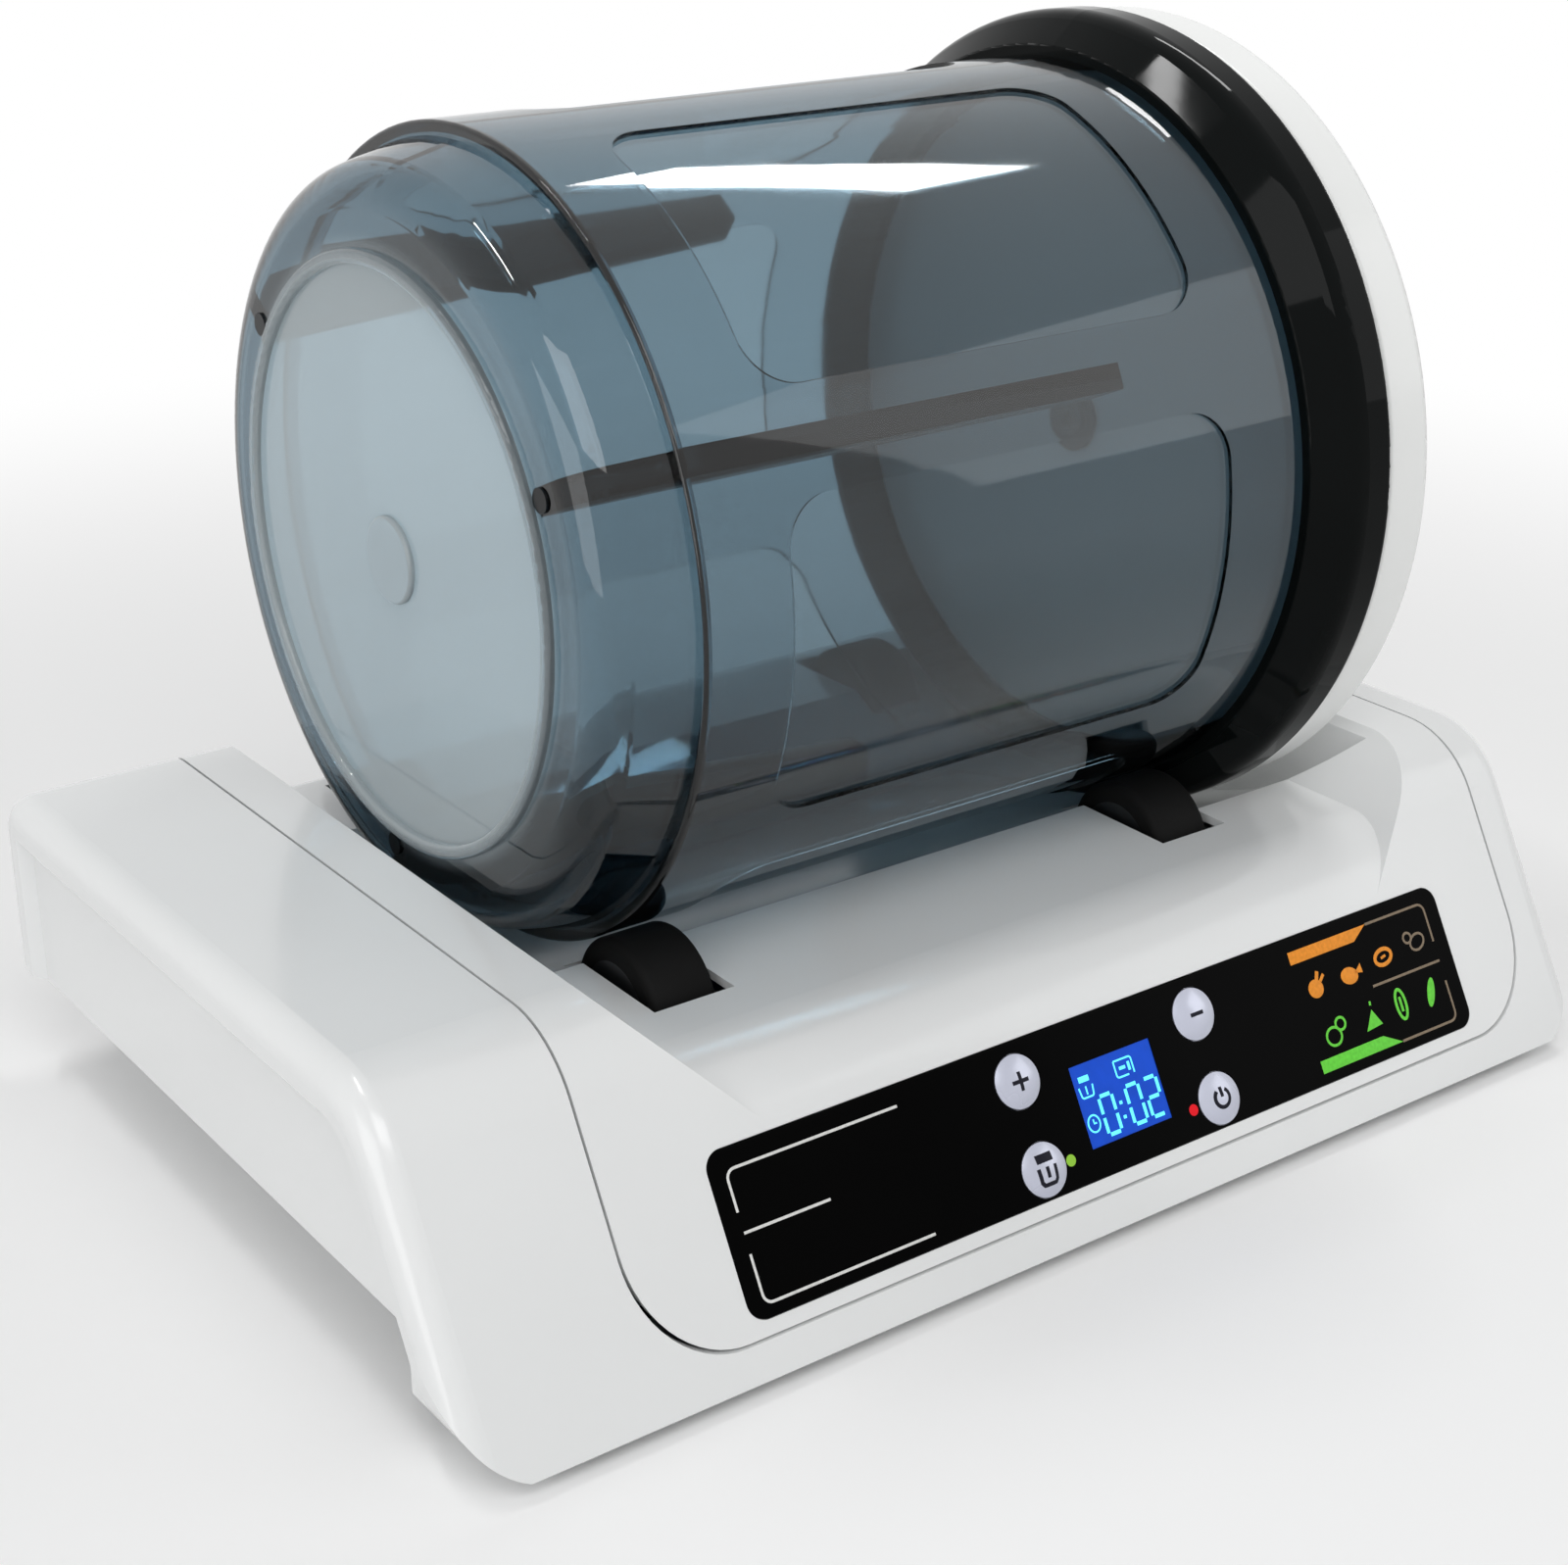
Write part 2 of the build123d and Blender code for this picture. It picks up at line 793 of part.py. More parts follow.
def wall_recess():
    """One shallow panel of the drum's wall, with rounded corners."""
    sweep = 360 / panel_count - panel_strip_angle
    low = drum_radius - panel_depth
    high = drum_radius + overlap
    corners = [(panel_start, low), (panel_end, low), (panel_end, high), (panel_start, high)]
    recess = revolve(make_face(Polyline(*corners, close=True)), axis=Axis.X, revolution_arc=sweep)
    radial = [edge for edge in recess.edges() if abs(edge.length - panel_depth - overlap) < running_gap]
    return fillet(radial, panel_corner)


def ribs_turned(solid):
    """Copies of a solid at the places of the paddles."""
    return [Rot(rib_angle + i * 360 / rib_count, 0, 0) * solid for i in range(rib_count)]


def drum_shell():
    body = drum_form(drum_end, drum_step, drum_radius, drum_corner, drum_step_round)
    root = drum_end + drum_wall / 2
    ring_in = foot_ring_radius - foot_ring_width / 2
    ring_out = foot_ring_radius + foot_ring_width / 2
    ring_face = drum_end - foot_ring_height
    ring = [(ring_face, ring_in), (ring_face, ring_out), (root, ring_out), (root, ring_in)]
    body += turned(ring, [foot_ring_round, foot_ring_round, 0, 0])
    boss_face = drum_end - boss_height
    boss = [(boss_face, 0), (boss_face, boss_radius), (root, boss_radius), (root, 0)]
    body += turned(boss, [0, boss_round, 0, 0])
    body -= drum_room()
    recess = wall_recess()
    for i in range(panel_count):
        body -= Rot(rib_angle + panel_strip_angle / 2 + i * 360 / panel_count, 0, 0) * recess
    pin_hole = rod_x(rib_pin_radius, drum_end - overlap, drum_end + drum_wall, rib_pin_circle, 0)
    for hole in ribs_turned(pin_hole):
        body -= hole
    return drum_place * body


def paddles():
    room = drum_room()
    start = drum_end + drum_wall
    outer = drum_bore + overlap
    points = [(start, outer), (rib_end, outer), (rib_end, drum_bore - rib_tip_height)]
    points += [(start, drum_bore - rib_height)]
    outline = make_face(FilletPolyline(*points, radius=[0, 0, rib_tip_round, 0], close=True))
    fin = extrude(outline, rib_thickness / 2, both=True)
    fin -= rod_x(rib_pin_radius, start, start + rib_pin_depth, rib_pin_circle, 0)
    return [drum_place * (rib & room) for rib in ribs_turned(fin)]


def paddle_pins():
    pin = rod_x(rib_pin_radius, drum_end, drum_end + drum_wall + rib_pin_depth, rib_pin_circle, 0)
    pin += rod_x(rib_pin_head_radius, drum_end - rib_pin_head, drum_end, rib_pin_circle, 0)
    return [drum_place * copy for copy in ribs_turned(pin)]


def collar():
    slope_end = collar_start + collar_slope
    points = [(collar_start, drum_radius), (collar_start, drum_radius + collar_step), (slope_end, collar_radius)]
    points += [(collar_end, collar_radius), (collar_end, drum_bore), (drum_mouth, drum_bore)]
    points += [(drum_mouth, drum_radius)]
    radii = [0, collar_step_round, collar_slope_round, collar_lip_round, collar_mouth_round, 0, 0]
    return drum_place * turned(points, radii)


# Lid
def lid():
    rim_in = lid_radius - lid_wall
    neck = lid_plug_radius - seal_groove
    plug_in = neck - seal_groove
    floor = lid_start + lid_wall
    points = [(lid_inside, 0), (lid_inside, lid_plug_radius), (seal_start, lid_plug_radius), (seal_start, neck)]
    points += [(seal_end, neck), (seal_end, lid_plug_radius), (lid_start, lid_plug_radius)]
    radii = [0] * len(points)
    points += [(lid_start, lid_radius), (lid_end, lid_radius), (lid_end, rim_in), (floor, rim_in)]
    radii += [lid_heel_round, lid_rim_round, lid_lip_round, lid_rim_round]
    points += [(floor, plug_in), (lid_web, plug_in), (lid_web, 0)]
    radii += [lid_well_round, lid_rim_round, 0]
    body = turned(points, radii)
    for side in (-1, 1):
        low, high = sorted((side * valve_clear, side * plug_in))
        bar = block(lid_web - seal_groove, lid_web + grip_height, -grip_width / 2, grip_width / 2, low, high)
        outer_edges = bar.edges().filter_by(Axis.Z).group_by(Axis.X)[-1]
        body += fillet(outer_edges, grip_round)
    body -= rod_x(valve_radius, lid_inside - overlap, lid_web + overlap, 0, 0)
    return drum_place * body


def lid_seal():
    neck = lid_plug_radius - seal_groove
    outer = drum_bore - seal_gap
    points = [(seal_start, neck), (seal_end, neck), (seal_end, outer), (seal_start, outer)]
    return drum_place * turned(points, [0, 0, seal_round, seal_round])


def valve_body():
    tip = lid_inside - valve_tip
    flange_face = lid_web + valve_flange_height
    body = rod_x(valve_radius, tip, lid_web, 0, 0)
    body += rod_x(valve_flange, lid_web, flange_face, 0, 0)
    return drum_place * (body - rod_x(valve_stem + running_gap, tip, flange_face, 0, 0))


def valve_seal():
    start = lid_inside - valve_seal_thick
    ring = rod_x(valve_radius + valve_seal_width, start, lid_inside, 0, 0)
    return drum_place * (ring - rod_x(valve_radius, start, lid_inside, 0, 0))


def valve_knob():
    """Round foot with a finger bar across it, and the stem through the lid."""
    base = lid_web + valve_flange_height + knob_gap
    head = rod_x(knob_radius, base, base + knob_height, 0, 0)
    head = fillet(head.edges().group_by(Axis.X)[-1], knob_round)
    for side in (-1, 1):
        low, high = sorted((side * knob_waist, side * far))
        head -= block(base + knob_base, far, low, high, -far, far)
    return drum_place * (head + rod_x(valve_stem, lid_inside, base, 0, 0))


def save(name, solids):
    shape = Compound(children=list(solids)) if isinstance(solids, list) else solids
    export_step(shape, os.path.join("parts", name + ".step"))


def main():
    os.makedirs("parts", exist_ok=True)
    save("housing", housing())
    save("deck", deck())
    save("base_tray", tray())
    save("rubber_feet", feet())
    save("case_screws", screws())
    for side, axle_y in (("drive", front_axle_y), ("idler", back_axle_y)):
        for end, x in zip(("left", "right"), roller_xs):
            save(side + "_tyre_" + end, roller_tyre(x, axle_y))
            save(side + "_hub_" + end, roller_hub(x, axle_y))
        save(side + "_pillars", [pillar(x, axle_y) for x in pillar_xs])
        save(side + "_bushes", [bush(x, axle_y) for x in pillar_xs])
    save("drive_shaft", drive_shaft())
    save("idler_shaft", idler_shaft())
    save("gear_motor", gear_motor())
    save("motor_bracket", motor_bracket())
    save("motor_output_shaft", output_shaft())
    save("shaft_coupling", coupling())
    save("pump_motor", pump_motor())
    save("vacuum_pump", pump())
    save("pump_bracket", pump_bracket())
    save("vacuum_hose", vacuum_hose())
    save("vacuum_port", vacuum_port())
    save("power_board", power_board())
    save("transformer", transformer())
    save("power_inlet", power_inlet())
    save("inlet_pins", inlet_pins())
    save("control_panel", control_panel())
    for name, (u, v) in keys.items():
        save(name, button(u, v))
    save("display_window", display_window())
    save("display_module", display_module())
    save("green_indicator", indicator(lamp_green_u))
    save("red_indicator", indicator(lamp_red_u))
    save("control_board", control_board())
    save("tact_switches", tact_switches())
    save("board_spacers", board_spacers())
    save("drum_shell", drum_shell())
    save("tumbling_paddles", paddles())
    save("paddle_pins", paddle_pins())
    save("drum_collar", collar())
    save("lid", lid())
    save("lid_seal", lid_seal())
    save("valve_body", valve_body())
    save("valve_seal", valve_seal())
    save("valve_knob", valve_knob())


main()
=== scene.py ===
import math
from collections import namedtuple

import bpy
from mathutils import Matrix, Vector


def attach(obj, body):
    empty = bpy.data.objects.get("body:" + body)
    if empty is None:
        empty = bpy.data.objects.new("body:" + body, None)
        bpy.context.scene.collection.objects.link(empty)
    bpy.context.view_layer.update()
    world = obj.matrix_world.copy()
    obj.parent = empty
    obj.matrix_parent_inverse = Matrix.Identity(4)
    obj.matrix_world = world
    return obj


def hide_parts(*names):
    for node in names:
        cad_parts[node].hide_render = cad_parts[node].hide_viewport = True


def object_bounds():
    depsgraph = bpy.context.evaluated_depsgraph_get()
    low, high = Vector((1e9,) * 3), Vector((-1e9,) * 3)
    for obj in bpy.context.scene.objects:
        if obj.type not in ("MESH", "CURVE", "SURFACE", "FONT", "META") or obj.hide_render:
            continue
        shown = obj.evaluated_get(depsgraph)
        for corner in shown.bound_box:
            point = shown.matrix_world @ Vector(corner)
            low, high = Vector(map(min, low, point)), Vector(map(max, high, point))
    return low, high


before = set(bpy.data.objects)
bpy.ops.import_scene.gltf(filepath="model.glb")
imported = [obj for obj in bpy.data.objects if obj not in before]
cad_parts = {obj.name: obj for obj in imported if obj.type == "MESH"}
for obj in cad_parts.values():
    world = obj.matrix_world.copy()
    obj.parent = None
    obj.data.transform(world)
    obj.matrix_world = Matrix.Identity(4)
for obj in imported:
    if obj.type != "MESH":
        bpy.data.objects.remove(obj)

bl_info = {
    "name": "Vacuum Tumbler Finishes",
    "version": (1, 0, 0),
    "blender": (4, 5, 0),
    "location": "3D View > Sidebar > Tumbler",
    "description": "Dresses the vacuum tumbler with its mouldings, panel print, display and stage",
    "category": "Object",
}

MM = 0.001
CAD_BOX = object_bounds()
BOX_MIDDLE = (CAD_BOX[0] + CAD_BOX[1]) / 2

# The slanted control panel: across is +X, up runs up the slope, out leaves the face
PANEL_LEAN = math.radians(29.6)
PANEL_OUT = Vector((0.0, -math.cos(PANEL_LEAN), math.sin(PANEL_LEAN)))
PANEL_UP = Vector((0.0, math.sin(PANEL_LEAN), math.cos(PANEL_LEAN)))
PANEL_ACROSS = Vector((1.0, 0.0, 0.0))

# How deep the painted shade on the lid's inner face goes along X
PAINTED_LID_SHADE_START = 0.5 * MM
PAINTED_LID_SHADE_END = 2.5 * MM

# The paler frosted disc of the drum's end wall: its depth and its edge round the drum's axis
END_DISC_DEPTH = 4 * MM
END_DISC_FADE = 3 * MM
END_DISC_RADIUS = 76 * MM
END_DISC_EDGE = 10 * MM

# How far the paddles reach into the clear wall, so that no film of air shows between them
PADDLE_BITE = 0.3 * MM

# Mesh work: merging distances, the angle of smooth shading and how finely curves are cut
COPY_MERGE = 0.001 * MM
BAR_MERGE = 0.002 * MM
ROUTE_MERGE = 0.01 * MM
SMOOTH_ANGLE = math.radians(40)
CORNER_SEGMENTS = 5
BAR_SEGMENTS = 2
PLATE_SEGMENTS = 2
ELLIPSE_STEPS = 28
ARC_STEPS = 16
SIGN_CUTS = 4

# Details of the drawings in millimetres
PLATE_RIM = 0.03
FRAME_CORNER = 2.5
NUMERAL_STROKE = 1.05
NUMERAL_GAP = 0.55
DISPLAY_STROKE = 0.5

# Mouldings: roughness where clean and handled, grain and its depth in millimetres, flow shade, mirroring
Moulding = namedtuple("Moulding", "clean handled grain grain_depth flow mirror")
MOULDINGS = {
    "gloss_white_shell": Moulding(0.18, 0.23, 700.0, 0.02, 0.97, 0.5),
    "satin_white_tray": Moulding(0.42, 0.55, 1500.0, 0.05, 0.97, 0.5),
    "gloss_white_lid": Moulding(0.21, 0.24, 700.0, 0.02, None, 0.5),
    "gloss_black_collar": Moulding(0.03, 0.07, 400.0, 0.004, 0.7, 0.06),
    "gloss_black_panel": Moulding(0.1, 0.2, 500.0, 0.008, 0.7, 0.02),
    "matt_black_moulding": Moulding(0.38, 0.52, 600.0, 0.015, 0.7, 0.5),
    "matt_rubber": Moulding(0.62, 0.78, 700.0, 0.02, 0.6, 0.12),
    "gloss_black_paddle": Moulding(0.18, 0.28, 90.0, 0.02, 0.8, 0.2),
    "lacquered_board": Moulding(0.25, 0.4, 600.0, 0.03, 0.6, 0.5),
    "satin_silver_key": Moulding(0.22, 0.34, 2600.0, 0.02, 0.88, 0.5),
}
SHELL_COAT = 0.25
SHELL_COAT_ROUGHNESS = 0.08
KEY_COAT = 0.5
KEY_METALLIC = 0.35

# Clear plastic of the drum: gloss, bending of light and the faint waves of its wall
DRUM_ROUGHNESS = (0.015, 0.06)
DRUM_IOR = 1.49
DRUM_MIRROR = 0.15
DRUM_WAVE = 0.12
DRUM_WAVE_DEPTH = 0.4

# Metals: roughness of each one, and how its drawn lines stand out
STEEL_ROUGHNESS = (0.25, 0.42)
ALUMINIUM_ROUGHNESS = (0.22, 0.36)
BRONZE_ROUGHNESS = (0.35, 0.5)
METAL_STAIN = 0.85
METAL_LINE = 0.15
METAL_LINE_DEPTH = 0.02
METAL_LINE_STRETCH = (0.06, 1.0, 1.0)

# Inks and lit lenses: roughness, mirror strength and how far their cover thins
INK_ROUGHNESS = (0.35, 0.5)
INK_MIRROR = 0.1
INK_THIN = 0.82
LENS_ROUGHNESS = 0.3
LENS_MIRROR = 0.1
LENS_THIN = 0.85

# How strongly the display and its lamps glow
BACKLIGHT_GLOW = 0.22
SEGMENT_GLOW = 0.9
GREEN_LAMP_GLOW = 0.3
RED_LAMP_GLOW = 0.4

# Noise patterns: scale and detail, and the span of noise that a finish follows
FLOW_PATTERN = (9.0, 2.0)
SMUDGE_PATTERN = (26.0, 4.0)
DRUM_SMUDGE_PATTERN = (30.0, 4.0)
DRUM_WAVE_PATTERN = (22.0, 1.0)
METAL_STAIN_PATTERN = (40.0, 3.0)
METAL_LINE_PATTERN = (900.0, 2.0)
INK_COVER_PATTERN = (900.0, 2.0)
INK_GLOSS_PATTERN = (300.0, 2.0)
LENS_PATTERN = (160.0, 2.0)
GRAIN_DETAIL = 2.0
GRAIN_STRENGTH = 0.25
NOISE_SPAN = (0.3, 0.7)
WHOLE_SPAN = (0.0, 1.0)

# Lamps: where each one stands, what it looks at and its two sides in metres
LAMPS = {
    "main": ((-0.55, -0.95, 1.35), BOX_MIDDLE, (0.9, 0.9)),
    "fill": ((1.1, -0.9, 0.7), BOX_MIDDLE, (0.8, 0.8)),
    "strip": ((0.68, 0.335, 1.165), (-0.02, -0.03, 0.27), (0.42, 0.1)),
    "side": ((-1.4, -0.35, 0.45), BOX_MIDDLE, (0.9, 0.9)),
    "spark": ((-0.36, 0.22, 1.34), (0.11, -0.02, 0.28), (0.5, 0.025)),
}

# Floor and camera: where the floor fades to white, its roughness, the sensor and the nearest seen point
FLOOR_FADE = (0.35, 0.9)
FLOOR_ROUGHNESS = 0.9
SENSOR_WIDTH = 36.0
CAMERA_NEAR = 0.01

# Which nodes take which finish
SHELL_NODES = ("housing", "deck")
TRAY_NODES = ("base_tray", "board_spacers")
LID_NODES = ("lid",)
COLLAR_NODES = ("drum_collar",)
PANEL_NODES = ("control_panel",)
DRUM_NODES = ("drum_shell",)
PADDLE_NODES = ("tumbling_paddles", "paddle_pins")
SOFT_NODES = ("rubber_feet", "vacuum_hose", "lid_seal", "valve_seal")
TYRE_NODES = ("drive_tyre_left", "drive_tyre_right", "idler_tyre_left", "idler_tyre_right")
BLACK_NODES = (
    "drive_pillars", "idler_pillars", "vacuum_pump", "vacuum_port", "transformer", "power_inlet",
    "tact_switches", "drive_hub_left", "drive_hub_right", "idler_hub_left", "idler_hub_right",
    "valve_body", "valve_knob",
)
STEEL_NODES = (
    "case_screws", "gear_motor", "motor_bracket", "pump_motor", "pump_bracket", "drive_shaft",
    "idler_shaft", "motor_output_shaft",
)
ALUMINIUM_NODES = ("shaft_coupling",)
BRONZE_NODES = ("drive_bushes", "idler_bushes", "inlet_pins")
BOARD_NODES = ("power_board", "control_board")
DISPLAY_NODES = ("display_module", "display_window")
KEYS = {
    "plus_button": "plus_key",
    "minus_button": "minus_key",
    "vacuum_button": "vacuum_key",
    "power_button": "power_key",
}

# Bars lit for each numeral, with the bars named from the top round to the middle
NUMERAL_BARS = {
    "0": ("top", "upper_right", "lower_right", "bottom", "lower_left", "upper_left"),
    "2": ("top", "upper_right", "middle", "lower_left", "bottom"),
}


def panel_face(node):
    """The middle of a node on the panel and its outermost reach, as across, up and out in metres."""
    corners = [vertex.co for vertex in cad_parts[node].data.vertices]
    across = [corner.dot(PANEL_ACROSS) for corner in corners]
    up = [corner.dot(PANEL_UP) for corner in corners]
    out = max(corner.dot(PANEL_OUT) for corner in corners)
    return Vector(((min(across) + max(across)) / 2, (min(up) + max(up)) / 2, out))


def panel_place(centre):
    """The matrix from a drawing in metres to the panel, with its origin at the given face point."""
    origin = PANEL_ACROSS * centre.x + PANEL_UP * centre.y + PANEL_OUT * centre.z
    turn = Matrix((PANEL_ACROSS, PANEL_UP, PANEL_OUT)).transposed().to_4x4()
    return Matrix.Translation(origin) @ turn


def drum_end():
    """The middle of the drum's end wall."""
    corners = [vertex.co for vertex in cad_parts["drum_shell"].data.vertices]
    low = Vector([min(corner[i] for corner in corners) for i in range(3)])
    high = Vector([max(corner[i] for corner in corners) for i in range(3)])
    middle = (low + high) / 2
    return Vector((low.x, middle.y, middle.z))


# Drawing tools: everything is drawn flat round the origin, then laid on its face

def deselect():
    """Leaves edit mode and clears the selection."""
    if bpy.context.mode != "OBJECT":
        bpy.ops.object.mode_set(mode="OBJECT")
    bpy.ops.object.select_all(action="DESELECT")


def drawn_route(points):
    """A chain of edges through points in millimetres, left all selected in edit mode."""
    deselect()
    bpy.ops.mesh.primitive_plane_add(size=MM, location=(0, 0, 0))
    bpy.ops.object.mode_set(mode="EDIT")
    bpy.ops.mesh.merge(type="CENTER")
    route = [Vector((x, y, 0.0)) * MM for x, y in points]
    bpy.ops.transform.translate(value=route[0])
    for start, end in zip(route, route[1:]):
        bpy.ops.mesh.extrude_region_move(TRANSFORM_OT_translate={"value": end - start})
    bpy.ops.mesh.select_all(action="SELECT")


def drawn_line(points, width, height, corner=0.0, cuts=0):
    """A low rounded bar along points, with its sizes in millimetres."""
    drawn_route(points)
    bpy.ops.mesh.remove_doubles(threshold=ROUTE_MERGE)
    if corner:
        bpy.ops.mesh.bevel(offset=corner * MM, segments=CORNER_SEGMENTS, affect="VERTICES")
    if cuts:
        bpy.ops.mesh.subdivide(number_cuts=cuts)
    bpy.ops.object.mode_set(mode="OBJECT")
    bpy.ops.object.convert(target="CURVE")
    curve = bpy.context.object.data
    curve.bevel_depth = width / 2 * MM
    curve.bevel_resolution = BAR_SEGMENTS
    curve.use_fill_caps = True
    bpy.ops.object.convert(target="MESH")
    bpy.ops.object.mode_set(mode="EDIT")
    bpy.ops.mesh.select_all(action="SELECT")
    bpy.ops.mesh.remove_doubles(threshold=BAR_MERGE)
    bpy.ops.transform.resize(value=(1, 1, 2 * height / width), center_override=(0, 0, 0))
    bpy.ops.mesh.normals_make_consistent(inside=False)
    bpy.ops.object.mode_set(mode="OBJECT")
    return bpy.context.object


def drawn_ring(centre, radii, width, height, turn=0.0):
    """A low rounded bar round an ellipse, with its sizes in millimetres."""
    points = ellipse(centre, radii, turn)
    return drawn_line(points + points[:1], width, height)


def raised_plate(outline, height):
    """A thin plate of the given outline in millimetres, with a softened rim."""
    drawn_route(outline)
    bpy.ops.mesh.edge_face_add()
    bpy.ops.mesh.extrude_region_move(TRANSFORM_OT_translate={"value": (0, 0, height * MM)})
    bpy.ops.mesh.select_all(action="SELECT")
    bpy.ops.mesh.normals_make_consistent(inside=False)
    bpy.ops.mesh.bevel(offset=PLATE_RIM * MM, segments=PLATE_SEGMENTS, affect="EDGES")
    bpy.ops.object.mode_set(mode="OBJECT")
    return bpy.context.object


def ellipse(centre, radii, turn=0.0):
    """The points of an ellipse in millimetres, turned by an angle in degrees."""
    turned = Matrix.Rotation(math.radians(turn), 2)
    points = []
    for step in range(ELLIPSE_STEPS):
        angle = math.tau * step / ELLIPSE_STEPS
        point = turned @ Vector((radii[0] * math.cos(angle), radii[1] * math.sin(angle)))
        points.append((centre[0] + point.x, centre[1] + point.y))
    return points


def arc(centre, radius, start, end):
    """The points of an arc in millimetres between two angles in degrees."""
    points = []
    for step in range(ARC_STEPS + 1):
        angle = math.radians(start + (end - start) * step / ARC_STEPS)
        points.append((centre[0] + radius * math.cos(angle), centre[1] + radius * math.sin(angle)))
    return points


def numeral(sign, left, base, width, height):
    """The lit bars of one numeral as pairs of points in millimetres."""
    gap = NUMERAL_GAP
    right = left + width
    middle = base + height / 2
    top = base + height
    bars = {
        "top": [(left + gap, top), (right - gap, top)],
        "middle": [(left + gap, middle), (right - gap, middle)],
        "bottom": [(left + gap, base), (right - gap, base)],
        "upper_left": [(left, middle + gap), (left, top - gap)],
        "lower_left": [(left, base + gap), (left, middle - gap)],
        "upper_right": [(right, middle + gap), (right, top - gap)],
        "lower_right": [(right, base + gap), (right, middle - gap)],
    }
    return [bars[bar] for bar in NUMERAL_BARS[sign]]


def laid(name, drawings, centre, body, finish, dome=0.0):
    """Joins drawings into one piece, lays it on a face or dome of the panel and lets it ride on a body."""
    deselect()
    for drawing in drawings:
        drawing.select_set(True)
    bpy.context.view_layer.objects.active = drawings[0]
    if len(drawings) > 1:
        bpy.ops.object.join()
    piece = bpy.context.object
    piece.name = name
    piece.data.name = name
    if dome:
        for vertex in piece.data.vertices:
            vertex.co.z -= vertex.co.xy.length_squared / (2 * dome * MM)
    piece.matrix_world = panel_place(centre)
    bpy.ops.object.transform_apply(location=True, rotation=True, scale=True)
    bpy.ops.object.shade_smooth_by_angle(angle=SMOOTH_ANGLE)
    piece.data.materials.clear()
    piece.data.materials.append(finish)
    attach(piece, body)


# Finishes

def new_finish(name, colour, roughness):
    """A material with its main shader set to one colour and roughness."""
    finish = bpy.data.materials.new(name)
    finish.use_nodes = True
    shader = main_shader(finish)
    shader.inputs["Base Color"].default_value = (*colour, 1.0)
    shader.inputs["Roughness"].default_value = roughness
    return finish


def main_shader(finish):
    """The shader that gives a finish its colour and gloss."""
    return finish.node_tree.nodes["Principled BSDF"]


def mottle(finish, scale, detail, stretch=(1.0, 1.0, 1.0)):
    """Noise over the piece's own coordinates."""
    nodes = finish.node_tree.nodes
    links = finish.node_tree.links
    place = nodes.new("ShaderNodeTexCoord")
    mapping = nodes.new("ShaderNodeMapping")
    mapping.inputs["Scale"].default_value = stretch
    noise = nodes.new("ShaderNodeTexNoise")
    noise.inputs["Scale"].default_value = scale
    noise.inputs["Detail"].default_value = detail
    links.new(place.outputs["Object"], mapping.inputs["Vector"])
    links.new(mapping.outputs["Vector"], noise.inputs["Vector"])
    return noise.outputs["Fac"]


def tint(finish, pattern, first, second, span=NOISE_SPAN):
    """Lets the base colour wander between two colours over a span of the pattern."""
    links = finish.node_tree.links
    ramp = finish.node_tree.nodes.new("ShaderNodeValToRGB")
    ramp.color_ramp.elements[0].position = span[0]
    ramp.color_ramp.elements[1].position = span[1]
    ramp.color_ramp.elements[0].color = (*first, 1.0)
    ramp.color_ramp.elements[1].color = (*second, 1.0)
    links.new(pattern, ramp.inputs["Fac"])
    links.new(ramp.outputs["Color"], main_shader(finish).inputs["Base Color"])


def smudge(finish, pattern, roughness):
    """Lets the roughness wander between two values."""
    links = finish.node_tree.links
    spread = finish.node_tree.nodes.new("ShaderNodeMapRange")
    spread.inputs["From Min"].default_value = NOISE_SPAN[0]
    spread.inputs["From Max"].default_value = NOISE_SPAN[1]
    spread.inputs["To Min"].default_value = roughness[0]
    spread.inputs["To Max"].default_value = roughness[1]
    links.new(pattern, spread.inputs["Value"])
    links.new(spread.outputs["Result"], main_shader(finish).inputs["Roughness"])


def relief(finish, pattern, strength, depth):
    """Bump of the given depth in millimetres."""
    links = finish.node_tree.links
    bump = finish.node_tree.nodes.new("ShaderNodeBump")
    bump.inputs["Strength"].default_value = strength
    bump.inputs["Distance"].default_value = depth * MM
    links.new(pattern, bump.inputs["Height"])
    links.new(bump.outputs["Normal"], main_shader(finish).inputs["Normal"])


def shade(colour, factor):
    """A colour made darker by a factor."""
    return tuple(part * factor for part in colour)


def dress(nodes, finish):
    """Gives nodes their finish."""
    for name in nodes:
        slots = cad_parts[name].data.materials
        slots.clear()
        slots.append(finish)


def moulded(name, colour):
    """A moulded plastic with faint flow shading, handling smudges and surface grain."""
    values = MOULDINGS[name]
    finish = new_finish(name, colour, values.clean)
    main_shader(finish).inputs["Specular IOR Level"].default_value = values.mirror
    if values.flow:
        tint(finish, mottle(finish, *FLOW_PATTERN), shade(colour, values.flow), colour)
    smudge(finish, mottle(finish, *SMUDGE_PATTERN), (values.clean, values.handled))
    relief(finish, mottle(finish, values.grain, GRAIN_DETAIL), GRAIN_STRENGTH, values.grain_depth)
    return finish


def soft_step(finish, value, start, end):
    """Zero below one value and one above another, with a soft step between."""
    step = finish.node_tree.nodes.new("ShaderNodeMapRange")
    step.interpolation_type = "SMOOTHSTEP"
    step.inputs["From Min"].default_value = start
    step.inputs["From Max"].default_value = end
    finish.node_tree.links.new(value, step.inputs["Value"])
    return step.outputs["Result"]


